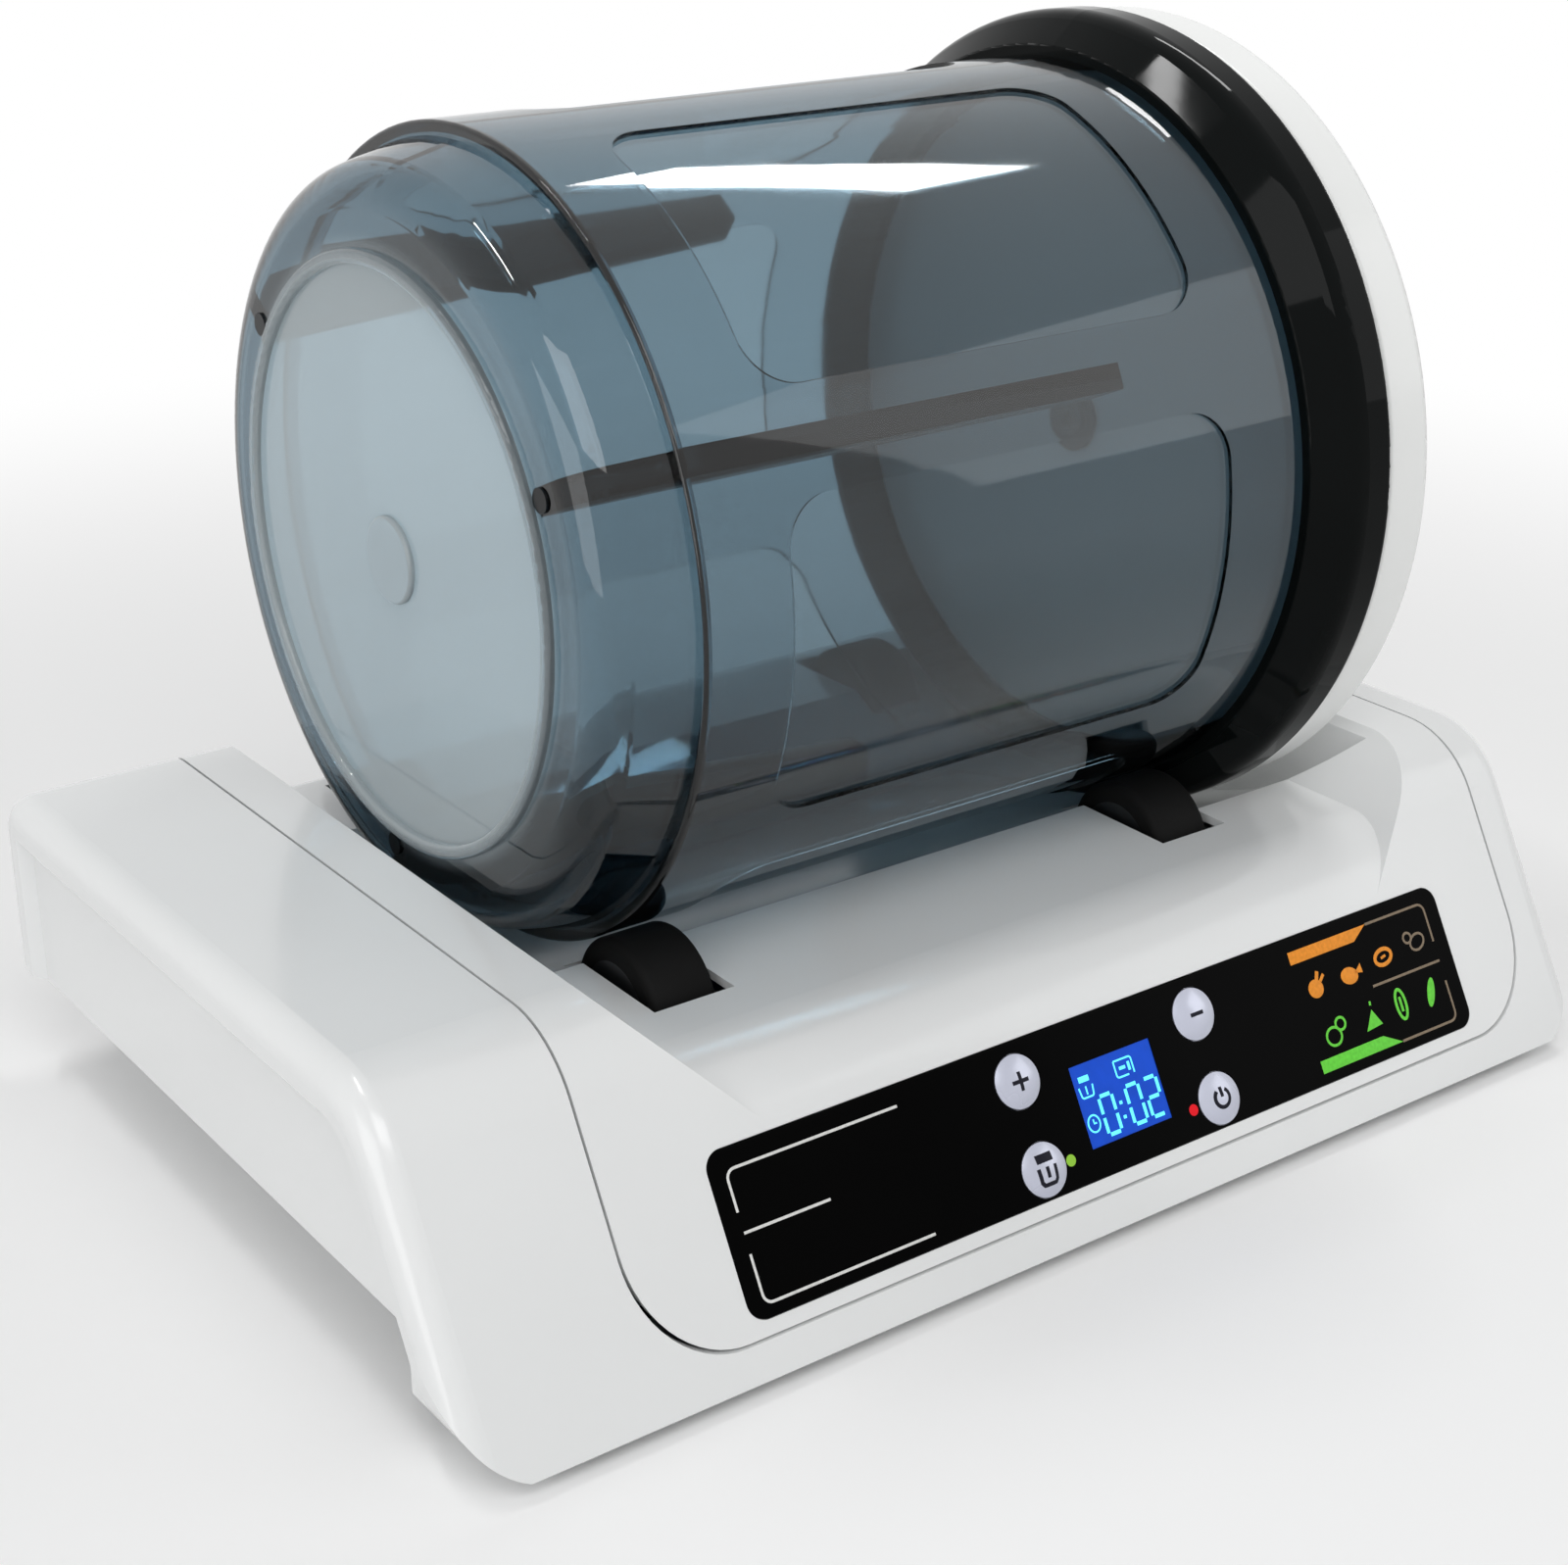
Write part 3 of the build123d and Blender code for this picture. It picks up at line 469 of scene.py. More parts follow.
def off_painted_lid_shade(finish):
    """Zero on the face of the lid that looks into the drum, where shade is painted, and one on the rest."""
    inside = min(vertex.co.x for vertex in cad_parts["lid"].data.vertices)
    nodes = finish.node_tree.nodes
    place = nodes.new("ShaderNodeTexCoord")
    split = nodes.new("ShaderNodeSeparateXYZ")
    finish.node_tree.links.new(place.outputs["Object"], split.inputs["Vector"])
    return soft_step(finish, split.outputs["X"], inside + PAINTED_LID_SHADE_START, inside + PAINTED_LID_SHADE_END)


def off_end_disc(finish):
    """Zero on the middle disc of the drum's end wall and one everywhere else."""
    nodes = finish.node_tree.nodes
    links = finish.node_tree.links
    place = nodes.new("ShaderNodeTexCoord")
    shift = nodes.new("ShaderNodeVectorMath")
    shift.operation = "SUBTRACT"
    shift.inputs[1].default_value = drum_end()
    split = nodes.new("ShaderNodeSeparateXYZ")
    across = nodes.new("ShaderNodeVectorMath")
    across.operation = "MULTIPLY"
    across.inputs[1].default_value = (0.0, 1.0, 1.0)
    radius = nodes.new("ShaderNodeVectorMath")
    radius.operation = "LENGTH"
    both = nodes.new("ShaderNodeMath")
    both.operation = "MAXIMUM"
    links.new(place.outputs["Object"], shift.inputs[0])
    links.new(shift.outputs["Vector"], split.inputs["Vector"])
    links.new(shift.outputs["Vector"], across.inputs[0])
    links.new(across.outputs["Vector"], radius.inputs[0])
    inward = soft_step(finish, split.outputs["X"], END_DISC_DEPTH, END_DISC_DEPTH + END_DISC_FADE)
    outward = soft_step(finish, radius.outputs["Value"], END_DISC_RADIUS, END_DISC_RADIUS + END_DISC_EDGE)
    links.new(inward, both.inputs[0])
    links.new(outward, both.inputs[1])
    return both.outputs["Value"]


def smoke_plastic(name, look):
    """Clear smoke-tinted plastic that darkens with thickness, with a paler frosted end wall."""
    finish = new_finish(name, look.smoke, DRUM_ROUGHNESS[0])
    shader = main_shader(finish)
    nodes = finish.node_tree.nodes
    links = finish.node_tree.links
    shader.inputs["IOR"].default_value = DRUM_IOR
    shader.inputs["Specular IOR Level"].default_value = DRUM_MIRROR
    side = off_end_disc(finish)
    tint(finish, side, look.smoke_end, look.smoke, WHOLE_SPAN)
    clear = nodes.new("ShaderNodeMapRange")
    clear.inputs["To Min"].default_value = look.smoke_end_clearness
    links.new(side, clear.inputs["Value"])
    links.new(clear.outputs["Result"], shader.inputs["Transmission Weight"])
    smudge(finish, mottle(finish, *DRUM_SMUDGE_PATTERN), DRUM_ROUGHNESS)
    relief(finish, mottle(finish, *DRUM_WAVE_PATTERN), DRUM_WAVE, DRUM_WAVE_DEPTH)
    absorb = nodes.new("ShaderNodeVolumeAbsorption")
    absorb.inputs["Color"].default_value = (*look.smoke_depth, 1.0)
    absorb.inputs["Density"].default_value = look.smoke_density
    links.new(absorb.outputs["Volume"], nodes["Material Output"].inputs["Volume"])
    return finish


def turned_metal(name, colour, roughness):
    """Turned or drawn metal with fine lines along its length."""
    finish = new_finish(name, colour, roughness[0])
    main_shader(finish).inputs["Metallic"].default_value = 1.0
    lines = mottle(finish, *METAL_LINE_PATTERN, METAL_LINE_STRETCH)
    tint(finish, mottle(finish, *METAL_STAIN_PATTERN), shade(colour, METAL_STAIN), colour)
    smudge(finish, lines, roughness)
    relief(finish, lines, METAL_LINE, METAL_LINE_DEPTH)
    return finish


def printed(name, colour):
    """Screen ink, a little uneven in its cover."""
    finish = new_finish(name, colour, INK_ROUGHNESS[0])
    main_shader(finish).inputs["Specular IOR Level"].default_value = INK_MIRROR
    tint(finish, mottle(finish, *INK_COVER_PATTERN), shade(colour, INK_THIN), colour)
    smudge(finish, mottle(finish, *INK_GLOSS_PATTERN), INK_ROUGHNESS)
    return finish


def glowing(name, colour, glow, strength):
    """A lit ink or lens, a little uneven in its cover."""
    finish = new_finish(name, colour, LENS_ROUGHNESS)
    shader = main_shader(finish)
    tint(finish, mottle(finish, *LENS_PATTERN), shade(colour, LENS_THIN), colour)
    shader.inputs["Specular IOR Level"].default_value = LENS_MIRROR
    shader.inputs["Emission Color"].default_value = (*glow, 1.0)
    shader.inputs["Emission Strength"].default_value = strength
    return finish


class TumblerFinish(bpy.types.PropertyGroup):
    """Colours and tints of the tumbler."""

    shell: bpy.props.FloatVectorProperty(
        name="Shell", description="White of the console", subtype="COLOR", default=(0.76, 0.77, 0.77))
    tray: bpy.props.FloatVectorProperty(
        name="Tray", description="White of the floor tray", subtype="COLOR", default=(0.66, 0.67, 0.67))
    lid: bpy.props.FloatVectorProperty(
        name="Lid", description="White of the lid", subtype="COLOR", default=(0.8, 0.81, 0.8))
    # Painted shade: the white lid's inner face is given a grey for the shadow inside the drum
    painted_lid_shade: bpy.props.FloatVectorProperty(
        name="Lid Inside", description="Grey of the lid's inner face", subtype="COLOR",
        default=(0.36, 0.38, 0.39))
    smoke: bpy.props.FloatVectorProperty(
        name="Smoke", description="Tint of the drum's side wall", subtype="COLOR", default=(0.6, 0.7, 0.75))
    smoke_end: bpy.props.FloatVectorProperty(
        name="Smoke End", description="Tint of the drum's end wall", subtype="COLOR",
        default=(0.82, 0.93, 0.97))
    smoke_end_clearness: bpy.props.FloatProperty(
        name="End Clearness", description="How clear the frosted end wall is", subtype="FACTOR",
        default=0.66, min=0.0, max=1.0)
    smoke_depth: bpy.props.FloatVectorProperty(
        name="Smoke Depth", description="Colour left after the wall", subtype="COLOR",
        default=(0.2, 0.37, 0.45))
    smoke_density: bpy.props.FloatProperty(
        name="Smoke Density", description="How fast the wall darkens with depth", default=240.0, min=0.0)
    collar: bpy.props.FloatVectorProperty(
        name="Collar", description="Black of the collar", subtype="COLOR", default=(0.003, 0.004, 0.004))
    panel: bpy.props.FloatVectorProperty(
        name="Panel", description="Black of the control panel", subtype="COLOR",
        default=(0.001, 0.001, 0.001))
    black: bpy.props.FloatVectorProperty(
        name="Black Mouldings", description="Black of the small mouldings", subtype="COLOR",
        default=(0.006, 0.007, 0.008))
    rubber: bpy.props.FloatVectorProperty(
        name="Rubber", description="Colour of tyres and seals", subtype="COLOR",
        default=(0.006, 0.006, 0.006))
    key: bpy.props.FloatVectorProperty(
        name="Keys", description="Silver of the keys", subtype="COLOR", default=(0.55, 0.57, 0.68))
    steel: bpy.props.FloatVectorProperty(
        name="Steel", description="Steel of shafts and motors", subtype="COLOR", default=(0.5, 0.5, 0.52))
    aluminium: bpy.props.FloatVectorProperty(
        name="Aluminium", description="Metal of the coupling", subtype="COLOR", default=(0.68, 0.68, 0.7))
    bronze: bpy.props.FloatVectorProperty(
        name="Bronze", description="Metal of bushes and pins", subtype="COLOR", default=(0.6, 0.42, 0.18))
    board: bpy.props.FloatVectorProperty(
        name="Boards", description="Lacquer of the boards", subtype="COLOR", default=(0.02, 0.14, 0.06))


class TumblerPrint(bpy.types.PropertyGroup):
    """Sizes and inks of the panel print and display."""

    line_width: bpy.props.FloatProperty(
        name="Line Width", description="Width of the thin panel lines in millimetres", default=0.75)
    height: bpy.props.FloatProperty(
        name="Print Height", description="How far the print stands up in millimetres", default=0.06)
    sign_width: bpy.props.FloatProperty(
        name="Sign Width", description="Width of the key signs' strokes in millimetres", default=1.15)
    key_dome: bpy.props.FloatProperty(
        name="Key Dome", description="Radius of the domed keys in millimetres", default=17.45)
    numeral_height: bpy.props.FloatProperty(
        name="Numeral Height", description="Height of the numerals in millimetres", default=10.6)
    numeral_width: bpy.props.FloatProperty(
        name="Numeral Width", description="Width of the numerals in millimetres", default=4.6)
    white_ink: bpy.props.FloatVectorProperty(
        name="White Ink", description="Ink of the left lines", subtype="COLOR", default=(0.75, 0.75, 0.73))
    warm_ink: bpy.props.FloatVectorProperty(
        name="Warm Ink", description="Ink of the upper food signs", subtype="COLOR",
        default=(0.9, 0.32, 0.04))
    dim_ink: bpy.props.FloatVectorProperty(
        name="Dim Ink", description="Ink of the thin right lines", subtype="COLOR",
        default=(0.26, 0.2, 0.14))
    green_ink: bpy.props.FloatVectorProperty(
        name="Green Ink", description="Ink of the lower food signs", subtype="COLOR",
        default=(0.16, 0.72, 0.07))
    key_ink: bpy.props.FloatVectorProperty(
        name="Key Ink", description="Ink of the key signs", subtype="COLOR", default=(0.012, 0.012, 0.02))
    backlight: bpy.props.FloatVectorProperty(
        name="Backlight", description="Blue of the display", subtype="COLOR", default=(0.008, 0.07, 0.55))
    segment: bpy.props.FloatVectorProperty(
        name="Segments", description="Colour of the lit segments", subtype="COLOR",
        default=(0.12, 0.74, 1.0))
    green_lens: bpy.props.FloatVectorProperty(
        name="Green Lens", description="Colour of the green lens", subtype="COLOR", default=(0.2, 0.4, 0.04))
    green_light: bpy.props.FloatVectorProperty(
        name="Green Light", description="Light of the green lens", subtype="COLOR",
        default=(0.35, 0.7, 0.06))
    red_lens: bpy.props.FloatVectorProperty(
        name="Red Lens", description="Colour of the red lens", subtype="COLOR",
        default=(0.55, 0.006, 0.012))
    red_light: bpy.props.FloatVectorProperty(
        name="Red Light", description="Light of the red lens", subtype="COLOR", default=(0.8, 0.01, 0.02))


class TumblerStage(bpy.types.PropertyGroup):
    """Camera, lamps and floor."""

    camera_place: bpy.props.FloatVectorProperty(
        name="Camera", description="Where the camera stands", subtype="TRANSLATION", unit="LENGTH",
        default=(-0.42636, -0.57858, 0.39258))
    camera_aim: bpy.props.FloatVectorProperty(
        name="Aim", description="Direction that the camera looks in", subtype="DIRECTION",
        default=(0.5418, 0.7435, -0.392))
    lens: bpy.props.FloatProperty(
        name="Lens", description="Focal length in millimetres on a 36 mm sensor", default=60.99)
    floor_size: bpy.props.FloatProperty(
        name="Floor", description="Side of the floor", default=8.0, unit="LENGTH")
    floor_colour: bpy.props.FloatVectorProperty(
        name="Floor Colour", description="Pale floor", subtype="COLOR", default=(0.92, 0.92, 0.92))
    ambience: bpy.props.FloatProperty(
        name="Ambience", description="Strength of the light from all round", default=0.45)
    main_power: bpy.props.FloatProperty(
        name="Main Lamp", description="Power of the main soft lamp", default=8.0, unit="POWER")
    fill_power: bpy.props.FloatProperty(
        name="Fill Lamp", description="Power of the fill lamp", default=2.0, unit="POWER")
    side_power: bpy.props.FloatProperty(
        name="Side Lamp", description="Power of the lamp beside the left end", default=4.6, unit="POWER")
    strip_power: bpy.props.FloatProperty(
        name="Strip Lamp", description="Power of the lamp mirrored on the drum", default=2.6, unit="POWER")
    spark_power: bpy.props.FloatProperty(
        name="Spark Lamp", description="Power of the lamp mirrored on the collar", default=2.4, unit="POWER")


class TUMBLER_OT_white_mouldings(bpy.types.Operator):
    """Give the console, tray and lid their white plastics"""

    bl_idname = "tumbler.white_mouldings"
    bl_label = "White Mouldings"

    def execute(self, context):
        look = context.scene.tumbler_finish
        shell = moulded("gloss_white_shell", look.shell)
        shader = main_shader(shell)
        shader.inputs["Coat Weight"].default_value = SHELL_COAT
        shader.inputs["Coat Roughness"].default_value = SHELL_COAT_ROUGHNESS
        tray = moulded("satin_white_tray", look.tray)
        lid = moulded("gloss_white_lid", look.lid)
        # Painted shade: the lid's inner face is greyed for the shadow inside the drum
        tint(lid, off_painted_lid_shade(lid), look.painted_lid_shade, look.lid, WHOLE_SPAN)
        dress(SHELL_NODES, shell)
        dress(TRAY_NODES, tray)
        dress(LID_NODES, lid)
        return {"FINISHED"}


class TUMBLER_OT_black_mouldings(bpy.types.Operator):
    """Give the collar, panel, rollers and small mouldings their blacks"""

    bl_idname = "tumbler.black_mouldings"
    bl_label = "Black Mouldings"

    def execute(self, context):
        look = context.scene.tumbler_finish
        dress(COLLAR_NODES, moulded("gloss_black_collar", look.collar))
        dress(PANEL_NODES, moulded("gloss_black_panel", look.panel))
        dress(BLACK_NODES, moulded("matt_black_moulding", look.black))
        dress(SOFT_NODES + TYRE_NODES, moulded("matt_rubber", look.rubber))
        return {"FINISHED"}


class TUMBLER_OT_smoke_drum(bpy.types.Operator):
    """Give the drum its clear smoke plastic"""

    bl_idname = "tumbler.smoke_drum"
    bl_label = "Smoke Drum"

    def execute(self, context):
        dress(DRUM_NODES, smoke_plastic("smoke_drum", context.scene.tumbler_finish))
        return {"FINISHED"}


class TUMBLER_OT_paddles(bpy.types.Operator):
    """Seat the black paddles in the drum's clear wall"""

    bl_idname = "tumbler.paddles"
    bl_label = "Paddles"

    def execute(self, context):
        look = context.scene.tumbler_finish
        dress(PADDLE_NODES, moulded("gloss_black_paddle", look.black))
        middle = drum_end()
        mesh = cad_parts["tumbling_paddles"].data.copy()
        mesh.name = "seated_paddles"
        piece = bpy.data.objects.new("seated_paddles", mesh)
        context.collection.objects.link(piece)
        reach = max((vertex.co - middle).yz.length for vertex in mesh.vertices)
        grow = 1 + PADDLE_BITE / reach
        deselect()
        piece.select_set(True)
        context.view_layer.objects.active = piece
        bpy.ops.object.mode_set(mode="EDIT")
        bpy.ops.mesh.select_all(action="SELECT")
        bpy.ops.mesh.remove_doubles(threshold=COPY_MERGE)
        bpy.ops.transform.resize(value=(1, grow, grow), center_override=middle)
        bpy.ops.object.mode_set(mode="OBJECT")
        bpy.ops.object.shade_smooth_by_angle(angle=SMOOTH_ANGLE)
        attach(piece, "drum")
        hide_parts("tumbling_paddles")
        return {"FINISHED"}


class TUMBLER_OT_works(bpy.types.Operator):
    """Give the metal works and boards inside the console their finishes"""

    bl_idname = "tumbler.works"
    bl_label = "Works"

    def execute(self, context):
        look = context.scene.tumbler_finish
        dress(STEEL_NODES, turned_metal("turned_steel", look.steel, STEEL_ROUGHNESS))
        dress(ALUMINIUM_NODES, turned_metal("machined_aluminium", look.aluminium, ALUMINIUM_ROUGHNESS))
        dress(BRONZE_NODES, turned_metal("sintered_bronze", look.bronze, BRONZE_ROUGHNESS))
        dress(BOARD_NODES, moulded("lacquered_board", look.board))
        return {"FINISHED"}


class TUMBLER_OT_keys(bpy.types.Operator):
    """Give the four keys their silver paint and black signs"""

    bl_idname = "tumbler.keys"
    bl_label = "Keys"

    def execute(self, context):
        look = context.scene.tumbler_finish
        sizes = context.scene.tumbler_print
        silver = moulded("satin_silver_key", look.key)
        shader = main_shader(silver)
        shader.inputs["Metallic"].default_value = KEY_METALLIC
        shader.inputs["Coat Weight"].default_value = KEY_COAT
        dress(KEYS, silver)
        ink = printed("key_ink", sizes.key_ink)

        thick = sizes.sign_width
        jar = [(-2.8, 0.8), (-2.6, -3.0), (-1.9, -3.9), (1.9, -3.9), (2.6, -3.0), (2.8, 0.8)]
        jar_lid = [(-2.7, 3.2), (2.7, 3.2)]
        jar_lid_width = 2.4
        jar_stem = [(0, 0.8), (0, -2.2)]
        power_ring = arc((0, 0), 2.6, 125, 415)
        power_bar = [(0, 0.3), (0, 3.1)]
        signs = {
            "plus_button": [([(-2.7, 0), (2.7, 0)], thick), ([(0, -2.6), (0, 2.6)], thick)],
            "minus_button": [([(-2.3, 0), (2.3, 0)], thick)],
            "vacuum_button": [(jar, thick), (jar_lid, jar_lid_width), (jar_stem, thick)],
            "power_button": [(power_ring, thick), (power_bar, thick)],
        }
        for node, body in KEYS.items():
            strokes = []
            for points, width in signs[node]:
                strokes.append(drawn_line(points, width, sizes.height, cuts=SIGN_CUTS))
            laid(body + "_sign", strokes, panel_face(node), body, ink, sizes.key_dome)
        return {"FINISHED"}


class TUMBLER_OT_display(bpy.types.Operator):
    """Light the display, its numerals and the two lamps"""

    bl_idname = "tumbler.display"
    bl_label = "Display"

    def execute(self, context):
        sizes = context.scene.tumbler_print
        height = sizes.height
        centre = panel_face("display_window")
        dress(DISPLAY_NODES, glowing("display_backlight", sizes.backlight, sizes.backlight, BACKLIGHT_GLOW))
        green = glowing("green_lens", sizes.green_lens, sizes.green_light, GREEN_LAMP_GLOW)
        dress(("green_indicator",), green)
        red = glowing("red_lens", sizes.red_lens, sizes.red_light, RED_LAMP_GLOW)
        dress(("red_indicator",), red)
        segment = glowing("display_segment", sizes.segment, sizes.segment, SEGMENT_GLOW)

        base = -9.4
        colon = -0.75
        bars = []
        for sign, left in (("0", -7.6), ("0", 1.9), ("2", 8.5)):
            bars += numeral(sign, left, base, sizes.numeral_width, sizes.numeral_height)
        bars.append([(colon, base + 2.6), (colon, base + 3.5)])
        bars.append([(colon, base + 6.6), (colon, base + 7.5)])
        strokes = [drawn_line(bar, NUMERAL_STROKE, height) for bar in bars]
        laid("display_numerals", strokes, centre, "console", segment)

        thin = DISPLAY_STROKE
        clock = drawn_ring((-11.4, -5.0), (2.0, 2.3), thin, height)
        clock_hands = drawn_line([(-11.4, -3.8), (-11.4, -5.0), (-10.5, -5.0)], thin, height)
        jar = drawn_line([(-13.0, 5.2), (-12.6, 2.2), (-8.6, 2.2), (-8.2, 5.2)], thin, height, 0.6)
        jar_lid = drawn_line([(-12.4, 7.2), (-8.8, 7.2)], 1.6, height)
        jar_stem = drawn_line([(-10.6, 5.2), (-10.6, 2.9)], thin, height)
        tub = drawn_line([(0.6, 8.6), (0.6, 4.0), (4.8, 4.0)], thin, height, 0.8)
        tub_top = drawn_line([(0.6, 8.6), (6.8, 8.6), (6.8, 4.0)], thin, height, 0.8)
        tub_mark = drawn_line([(2.0, 6.3), (4.2, 6.3)], 0.9, height)
        tub_gauge = drawn_line([(5.5, 5.0), (5.5, 7.4)], 0.9, height)
        strokes = [clock, clock_hands, jar, jar_lid, jar_stem, tub, tub_top, tub_mark, tub_gauge]
        laid("display_signs", strokes, centre, "console", segment)
        return {"FINISHED"}


class TUMBLER_OT_panel_print(bpy.types.Operator):
    """Print the lines, bars and food signs on the panel"""

    bl_idname = "tumbler.panel_print"
    bl_label = "Panel Print"

    def execute(self, context):
        sizes = context.scene.tumbler_print
        centre = panel_face("control_panel")
        line = sizes.line_width
        height = sizes.height
        white = printed("white_ink", sizes.white_ink)
        warm = printed("warm_ink", sizes.warm_ink)
        dim = printed("dim_ink", sizes.dim_ink)
        green = printed("green_ink", sizes.green_ink)

        left = -126.5
        upper_frame = drawn_line([(-73, 16), (left, 16), (left, 5.4)], line, height, FRAME_CORNER)
        divider = drawn_line([(left, 0.1), (-100, 0.1)], line, height)
        lower_frame = drawn_line([(left, -5.2), (left, -18), (-73, -18)], line, height, FRAME_CORNER)
        strokes = [upper_frame, divider, lower_frame]
        laid("panel_white_lines", strokes, centre, "console", white)

        right = 125.5
        upper_frame = drawn_line([(101, 17.3), (right, 17.3), (right, 5.5)], line, height, FRAME_CORNER)
        divider = drawn_line([(97, -0.4), (right, -0.4)], line, height)
        lower_frame = drawn_line([(102, -18.4), (right, -18.4), (right, -6.6)], line, height, FRAME_CORNER)
        large_slice = drawn_ring((119, 7.2), (3.0, 2.2), line, height, 20)
        small_slice = drawn_ring((115.6, 9.2), (1.6, 1.5), line, height)
        strokes = [upper_frame, divider, lower_frame, large_slice, small_slice]
        laid("panel_dim_lines", strokes, centre, "console", dim)

        upper_bar = raised_plate([(69, 13.7), (95, 13.7), (101, 17.4), (69, 17.4)], height)
        drumstick = raised_plate(ellipse((75.6, 5.0), (2.9, 2.7)), height)
        long_bone = drawn_line([(76.6, 7.0), (77.8, 9.6)], 1.3, height)
        short_bone = drawn_line([(78.0, 6.6), (79.8, 8.2)], 1.0, height)
        fish = raised_plate(ellipse((89.4, 5.0), (3.4, 2.5), -10), height)
        fish_tail = raised_plate([(91.6, 5.2), (94.6, 7.4), (94.8, 4.6)], height)
        steak = drawn_ring((104.2, 6.6), (3.4, 2.2), 1.2, height, 8)
        steak_bone = drawn_line([(103.2, 6.4), (105.2, 6.8)], 0.8, height)
        strokes = [upper_bar, drumstick, long_bone, short_bone, fish, fish_tail, steak, steak_bone]
        laid("panel_warm_signs", strokes, centre, "console", warm)

        lower_bar = raised_plate([(69, -18.5), (102, -18.5), (95, -14.8), (69, -14.8)], height)
        large_tomato = drawn_ring((77.0, -9.6), (2.9, 2.6), 0.8, height)
        small_tomato = drawn_ring((80.6, -6.8), (1.9, 1.8), 0.8, height)
        carrot = raised_plate([(89.6, -12.0), (96.4, -11.4), (93.6, -6.4)], height)
        carrot_stalk = drawn_line([(93.7, -5.2), (93.9, -4.0)], 0.8, height)
        cucumber = drawn_ring((105.6, -8.2), (1.9, 4.4), 1.0, height)
        cucumber_core = drawn_line([(105.6, -10.4), (105.6, -6.0)], 1.0, height)
        leaf = raised_plate(ellipse((118.4, -8.2), (1.5, 4.4), -22), height)
        strokes = [
            lower_bar, large_tomato, small_tomato, carrot, carrot_stalk, cucumber, cucumber_core, leaf,
        ]
        laid("panel_green_signs", strokes, centre, "console", green)
        return {"FINISHED"}


def background_rays(nodes, links):
    """One where a ray shows the background: seen straight, in gloss or through clear plastic."""
    path = nodes.new("ShaderNodeLightPath")
    first = nodes.new("ShaderNodeMath")
    first.operation = "MAXIMUM"
    second = nodes.new("ShaderNodeMath")
    second.operation = "MAXIMUM"
    links.new(path.outputs["Is Camera Ray"], first.inputs[0])
    links.new(path.outputs["Is Glossy Ray"], first.inputs[1])
    links.new(first.outputs["Value"], second.inputs[0])
    links.new(path.outputs["Is Transmission Ray"], second.inputs[1])
    return second.outputs["Value"]


def pale_floor(look):
    """A floor that takes the shadow near the object and fades to white further out."""
    deselect()
    bpy.ops.mesh.primitive_plane_add(size=look.floor_size, location=(0, 0, 0))
    floor = bpy.context.object
    floor.name = "floor"
    finish = new_finish("pale_floor", look.floor_colour, FLOOR_ROUGHNESS)
    shader = main_shader(finish)
    shader.inputs["Specular IOR Level"].default_value = 0.0
    nodes = finish.node_tree.nodes
    links = finish.node_tree.links
    place = nodes.new("ShaderNodeTexCoord")
    length = nodes.new("ShaderNodeVectorMath")
    length.operation = "LENGTH"
    amount = nodes.new("ShaderNodeMath")
    amount.operation = "MULTIPLY"
    white = nodes.new("ShaderNodeEmission")
    mix = nodes.new("ShaderNodeMixShader")
    links.new(place.outputs["Object"], length.inputs[0])
    links.new(soft_step(finish, length.outputs["Value"], *FLOOR_FADE), amount.inputs[0])
    links.new(background_rays(nodes, links), amount.inputs[1])
    links.new(amount.outputs["Value"], mix.inputs["Fac"])
    links.new(shader.outputs["BSDF"], mix.inputs[1])
    links.new(white.outputs["Emission"], mix.inputs[2])
    links.new(mix.outputs["Shader"], nodes["Material Output"].inputs["Surface"])
    floor.data.materials.append(finish)


def surround(scene, ambience):
    """White all round where it is seen, and an even soft light elsewhere."""
    world = bpy.data.worlds.new("studio_surround")
    world.use_nodes = True
    scene.world = world
    nodes = world.node_tree.nodes
    links = world.node_tree.links
    light = nodes["Background"]
    light.inputs["Color"].default_value = (1.0, 1.0, 1.0, 1.0)
    light.inputs["Strength"].default_value = ambience
    white = nodes.new("ShaderNodeBackground")
    white.inputs["Color"].default_value = (1.0, 1.0, 1.0, 1.0)
    white.inputs["Strength"].default_value = 1.0
    mix = nodes.new("ShaderNodeMixShader")
    links.new(background_rays(nodes, links), mix.inputs["Fac"])
    links.new(light.outputs["Background"], mix.inputs[1])
    links.new(white.outputs["Background"], mix.inputs[2])
    links.new(mix.outputs["Shader"], nodes["World Output"].inputs["Surface"])


def soft_lamp(name, place, aim, sides, power):
    """A rectangular soft lamp that looks at a point."""
    turn = (Vector(aim) - Vector(place)).to_track_quat("-Z", "Y").to_euler()
    deselect()
    bpy.ops.object.light_add(type="AREA", location=place, rotation=turn)
    lamp = bpy.context.object
    lamp.name = name
    lamp.data.shape = "RECTANGLE"
    lamp.data.size = sides[0]
    lamp.data.size_y = sides[1]
    lamp.data.energy = power
    lamp.visible_camera = False


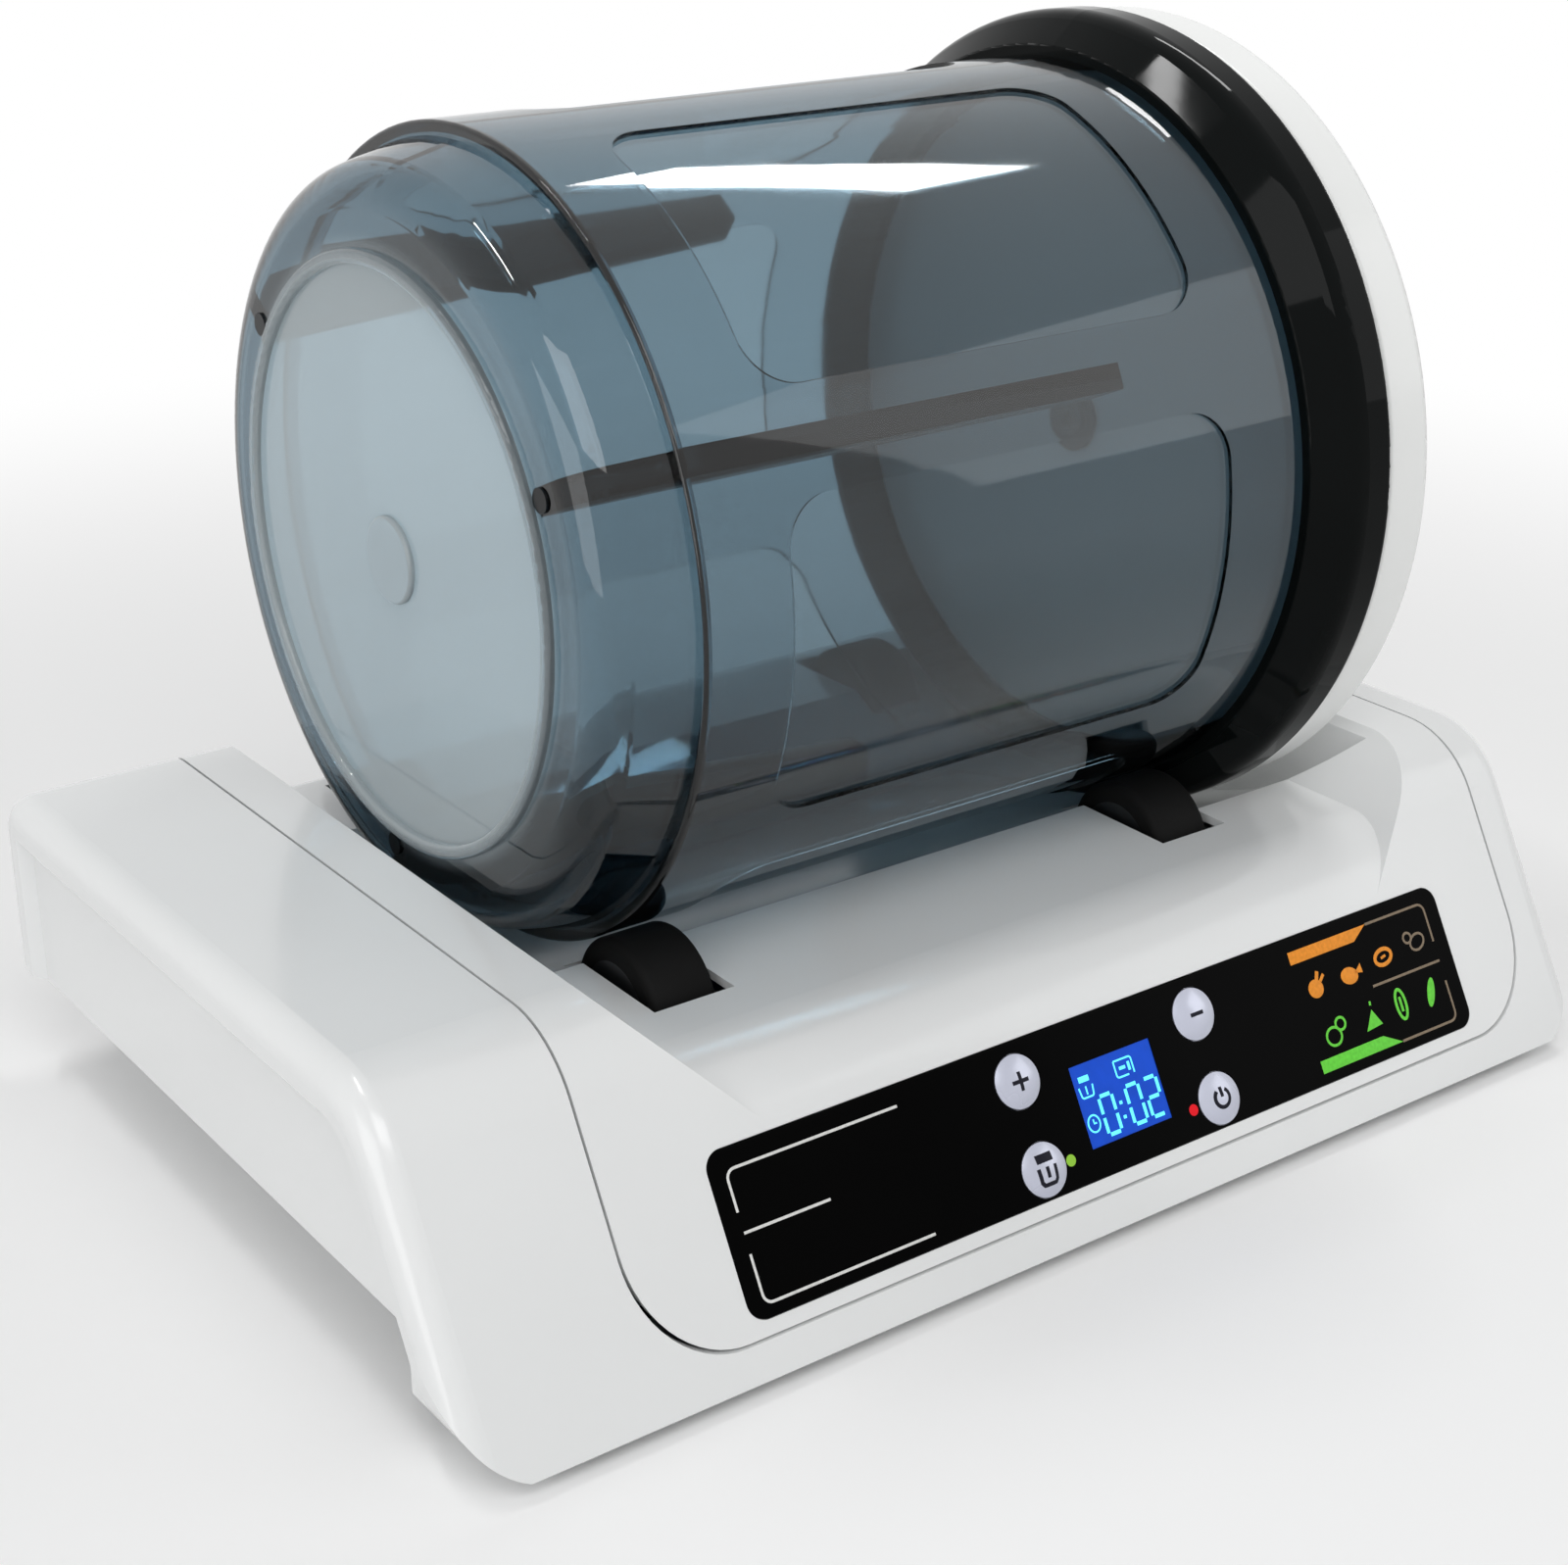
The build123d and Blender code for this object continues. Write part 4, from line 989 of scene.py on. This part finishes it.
class TUMBLER_OT_stage(bpy.types.Operator):
    """Set up the floor, surround, lamps and camera"""

    bl_idname = "tumbler.stage"
    bl_label = "Stage"

    def execute(self, context):
        look = context.scene.tumbler_stage
        scene = context.scene
        pale_floor(look)
        surround(scene, look.ambience)
        for name, (place, aim, sides) in LAMPS.items():
            soft_lamp(name + "_lamp", place, aim, sides, getattr(look, name + "_power"))
        turn = Vector(look.camera_aim).to_track_quat("-Z", "Y").to_euler()
        bpy.ops.object.camera_add(location=look.camera_place, rotation=turn)
        camera = context.object
        camera.name = "photo_camera"
        camera.data.sensor_width = SENSOR_WIDTH
        camera.data.lens = look.lens
        camera.data.clip_start = CAMERA_NEAR
        scene.camera = camera
        scene.view_settings.view_transform = "Standard"
        return {"FINISHED"}


class TUMBLER_PT_dresser(bpy.types.Panel):
    """Lists the finishing steps"""

    bl_idname = "TUMBLER_PT_dresser"
    bl_label = "Vacuum Tumbler"
    bl_space_type = "VIEW_3D"
    bl_region_type = "UI"
    bl_category = "Tumbler"

    def draw(self, context):
        for step in STEPS:
            self.layout.operator(step.bl_idname)
        for group in ("tumbler_finish", "tumbler_print", "tumbler_stage"):
            settings = getattr(context.scene, group)
            for name in settings.bl_rna.properties.keys():
                if name not in ("rna_type", "name"):
                    self.layout.prop(settings, name)


STEPS = (
    TUMBLER_OT_white_mouldings,
    TUMBLER_OT_black_mouldings,
    TUMBLER_OT_smoke_drum,
    TUMBLER_OT_paddles,
    TUMBLER_OT_works,
    TUMBLER_OT_keys,
    TUMBLER_OT_display,
    TUMBLER_OT_panel_print,
    TUMBLER_OT_stage,
)
SETTINGS = (TumblerFinish, TumblerPrint, TumblerStage)


def register():
    """Adds the classes and their settings."""
    for item in SETTINGS + STEPS + (TUMBLER_PT_dresser,):
        bpy.utils.register_class(item)
    bpy.types.Scene.tumbler_finish = bpy.props.PointerProperty(type=TumblerFinish)
    bpy.types.Scene.tumbler_print = bpy.props.PointerProperty(type=TumblerPrint)
    bpy.types.Scene.tumbler_stage = bpy.props.PointerProperty(type=TumblerStage)


def unregister():
    """Takes the classes and their settings away."""
    del bpy.types.Scene.tumbler_stage
    del bpy.types.Scene.tumbler_print
    del bpy.types.Scene.tumbler_finish
    for item in reversed(SETTINGS + STEPS + (TUMBLER_PT_dresser,)):
        bpy.utils.unregister_class(item)


def main():
    """Runs every step in order."""
    register()
    bpy.ops.tumbler.white_mouldings()
    bpy.ops.tumbler.black_mouldings()
    bpy.ops.tumbler.smoke_drum()
    bpy.ops.tumbler.paddles()
    bpy.ops.tumbler.works()
    bpy.ops.tumbler.keys()
    bpy.ops.tumbler.display()
    bpy.ops.tumbler.panel_print()
    bpy.ops.tumbler.stage()


if __name__ == "__main__":
    main()
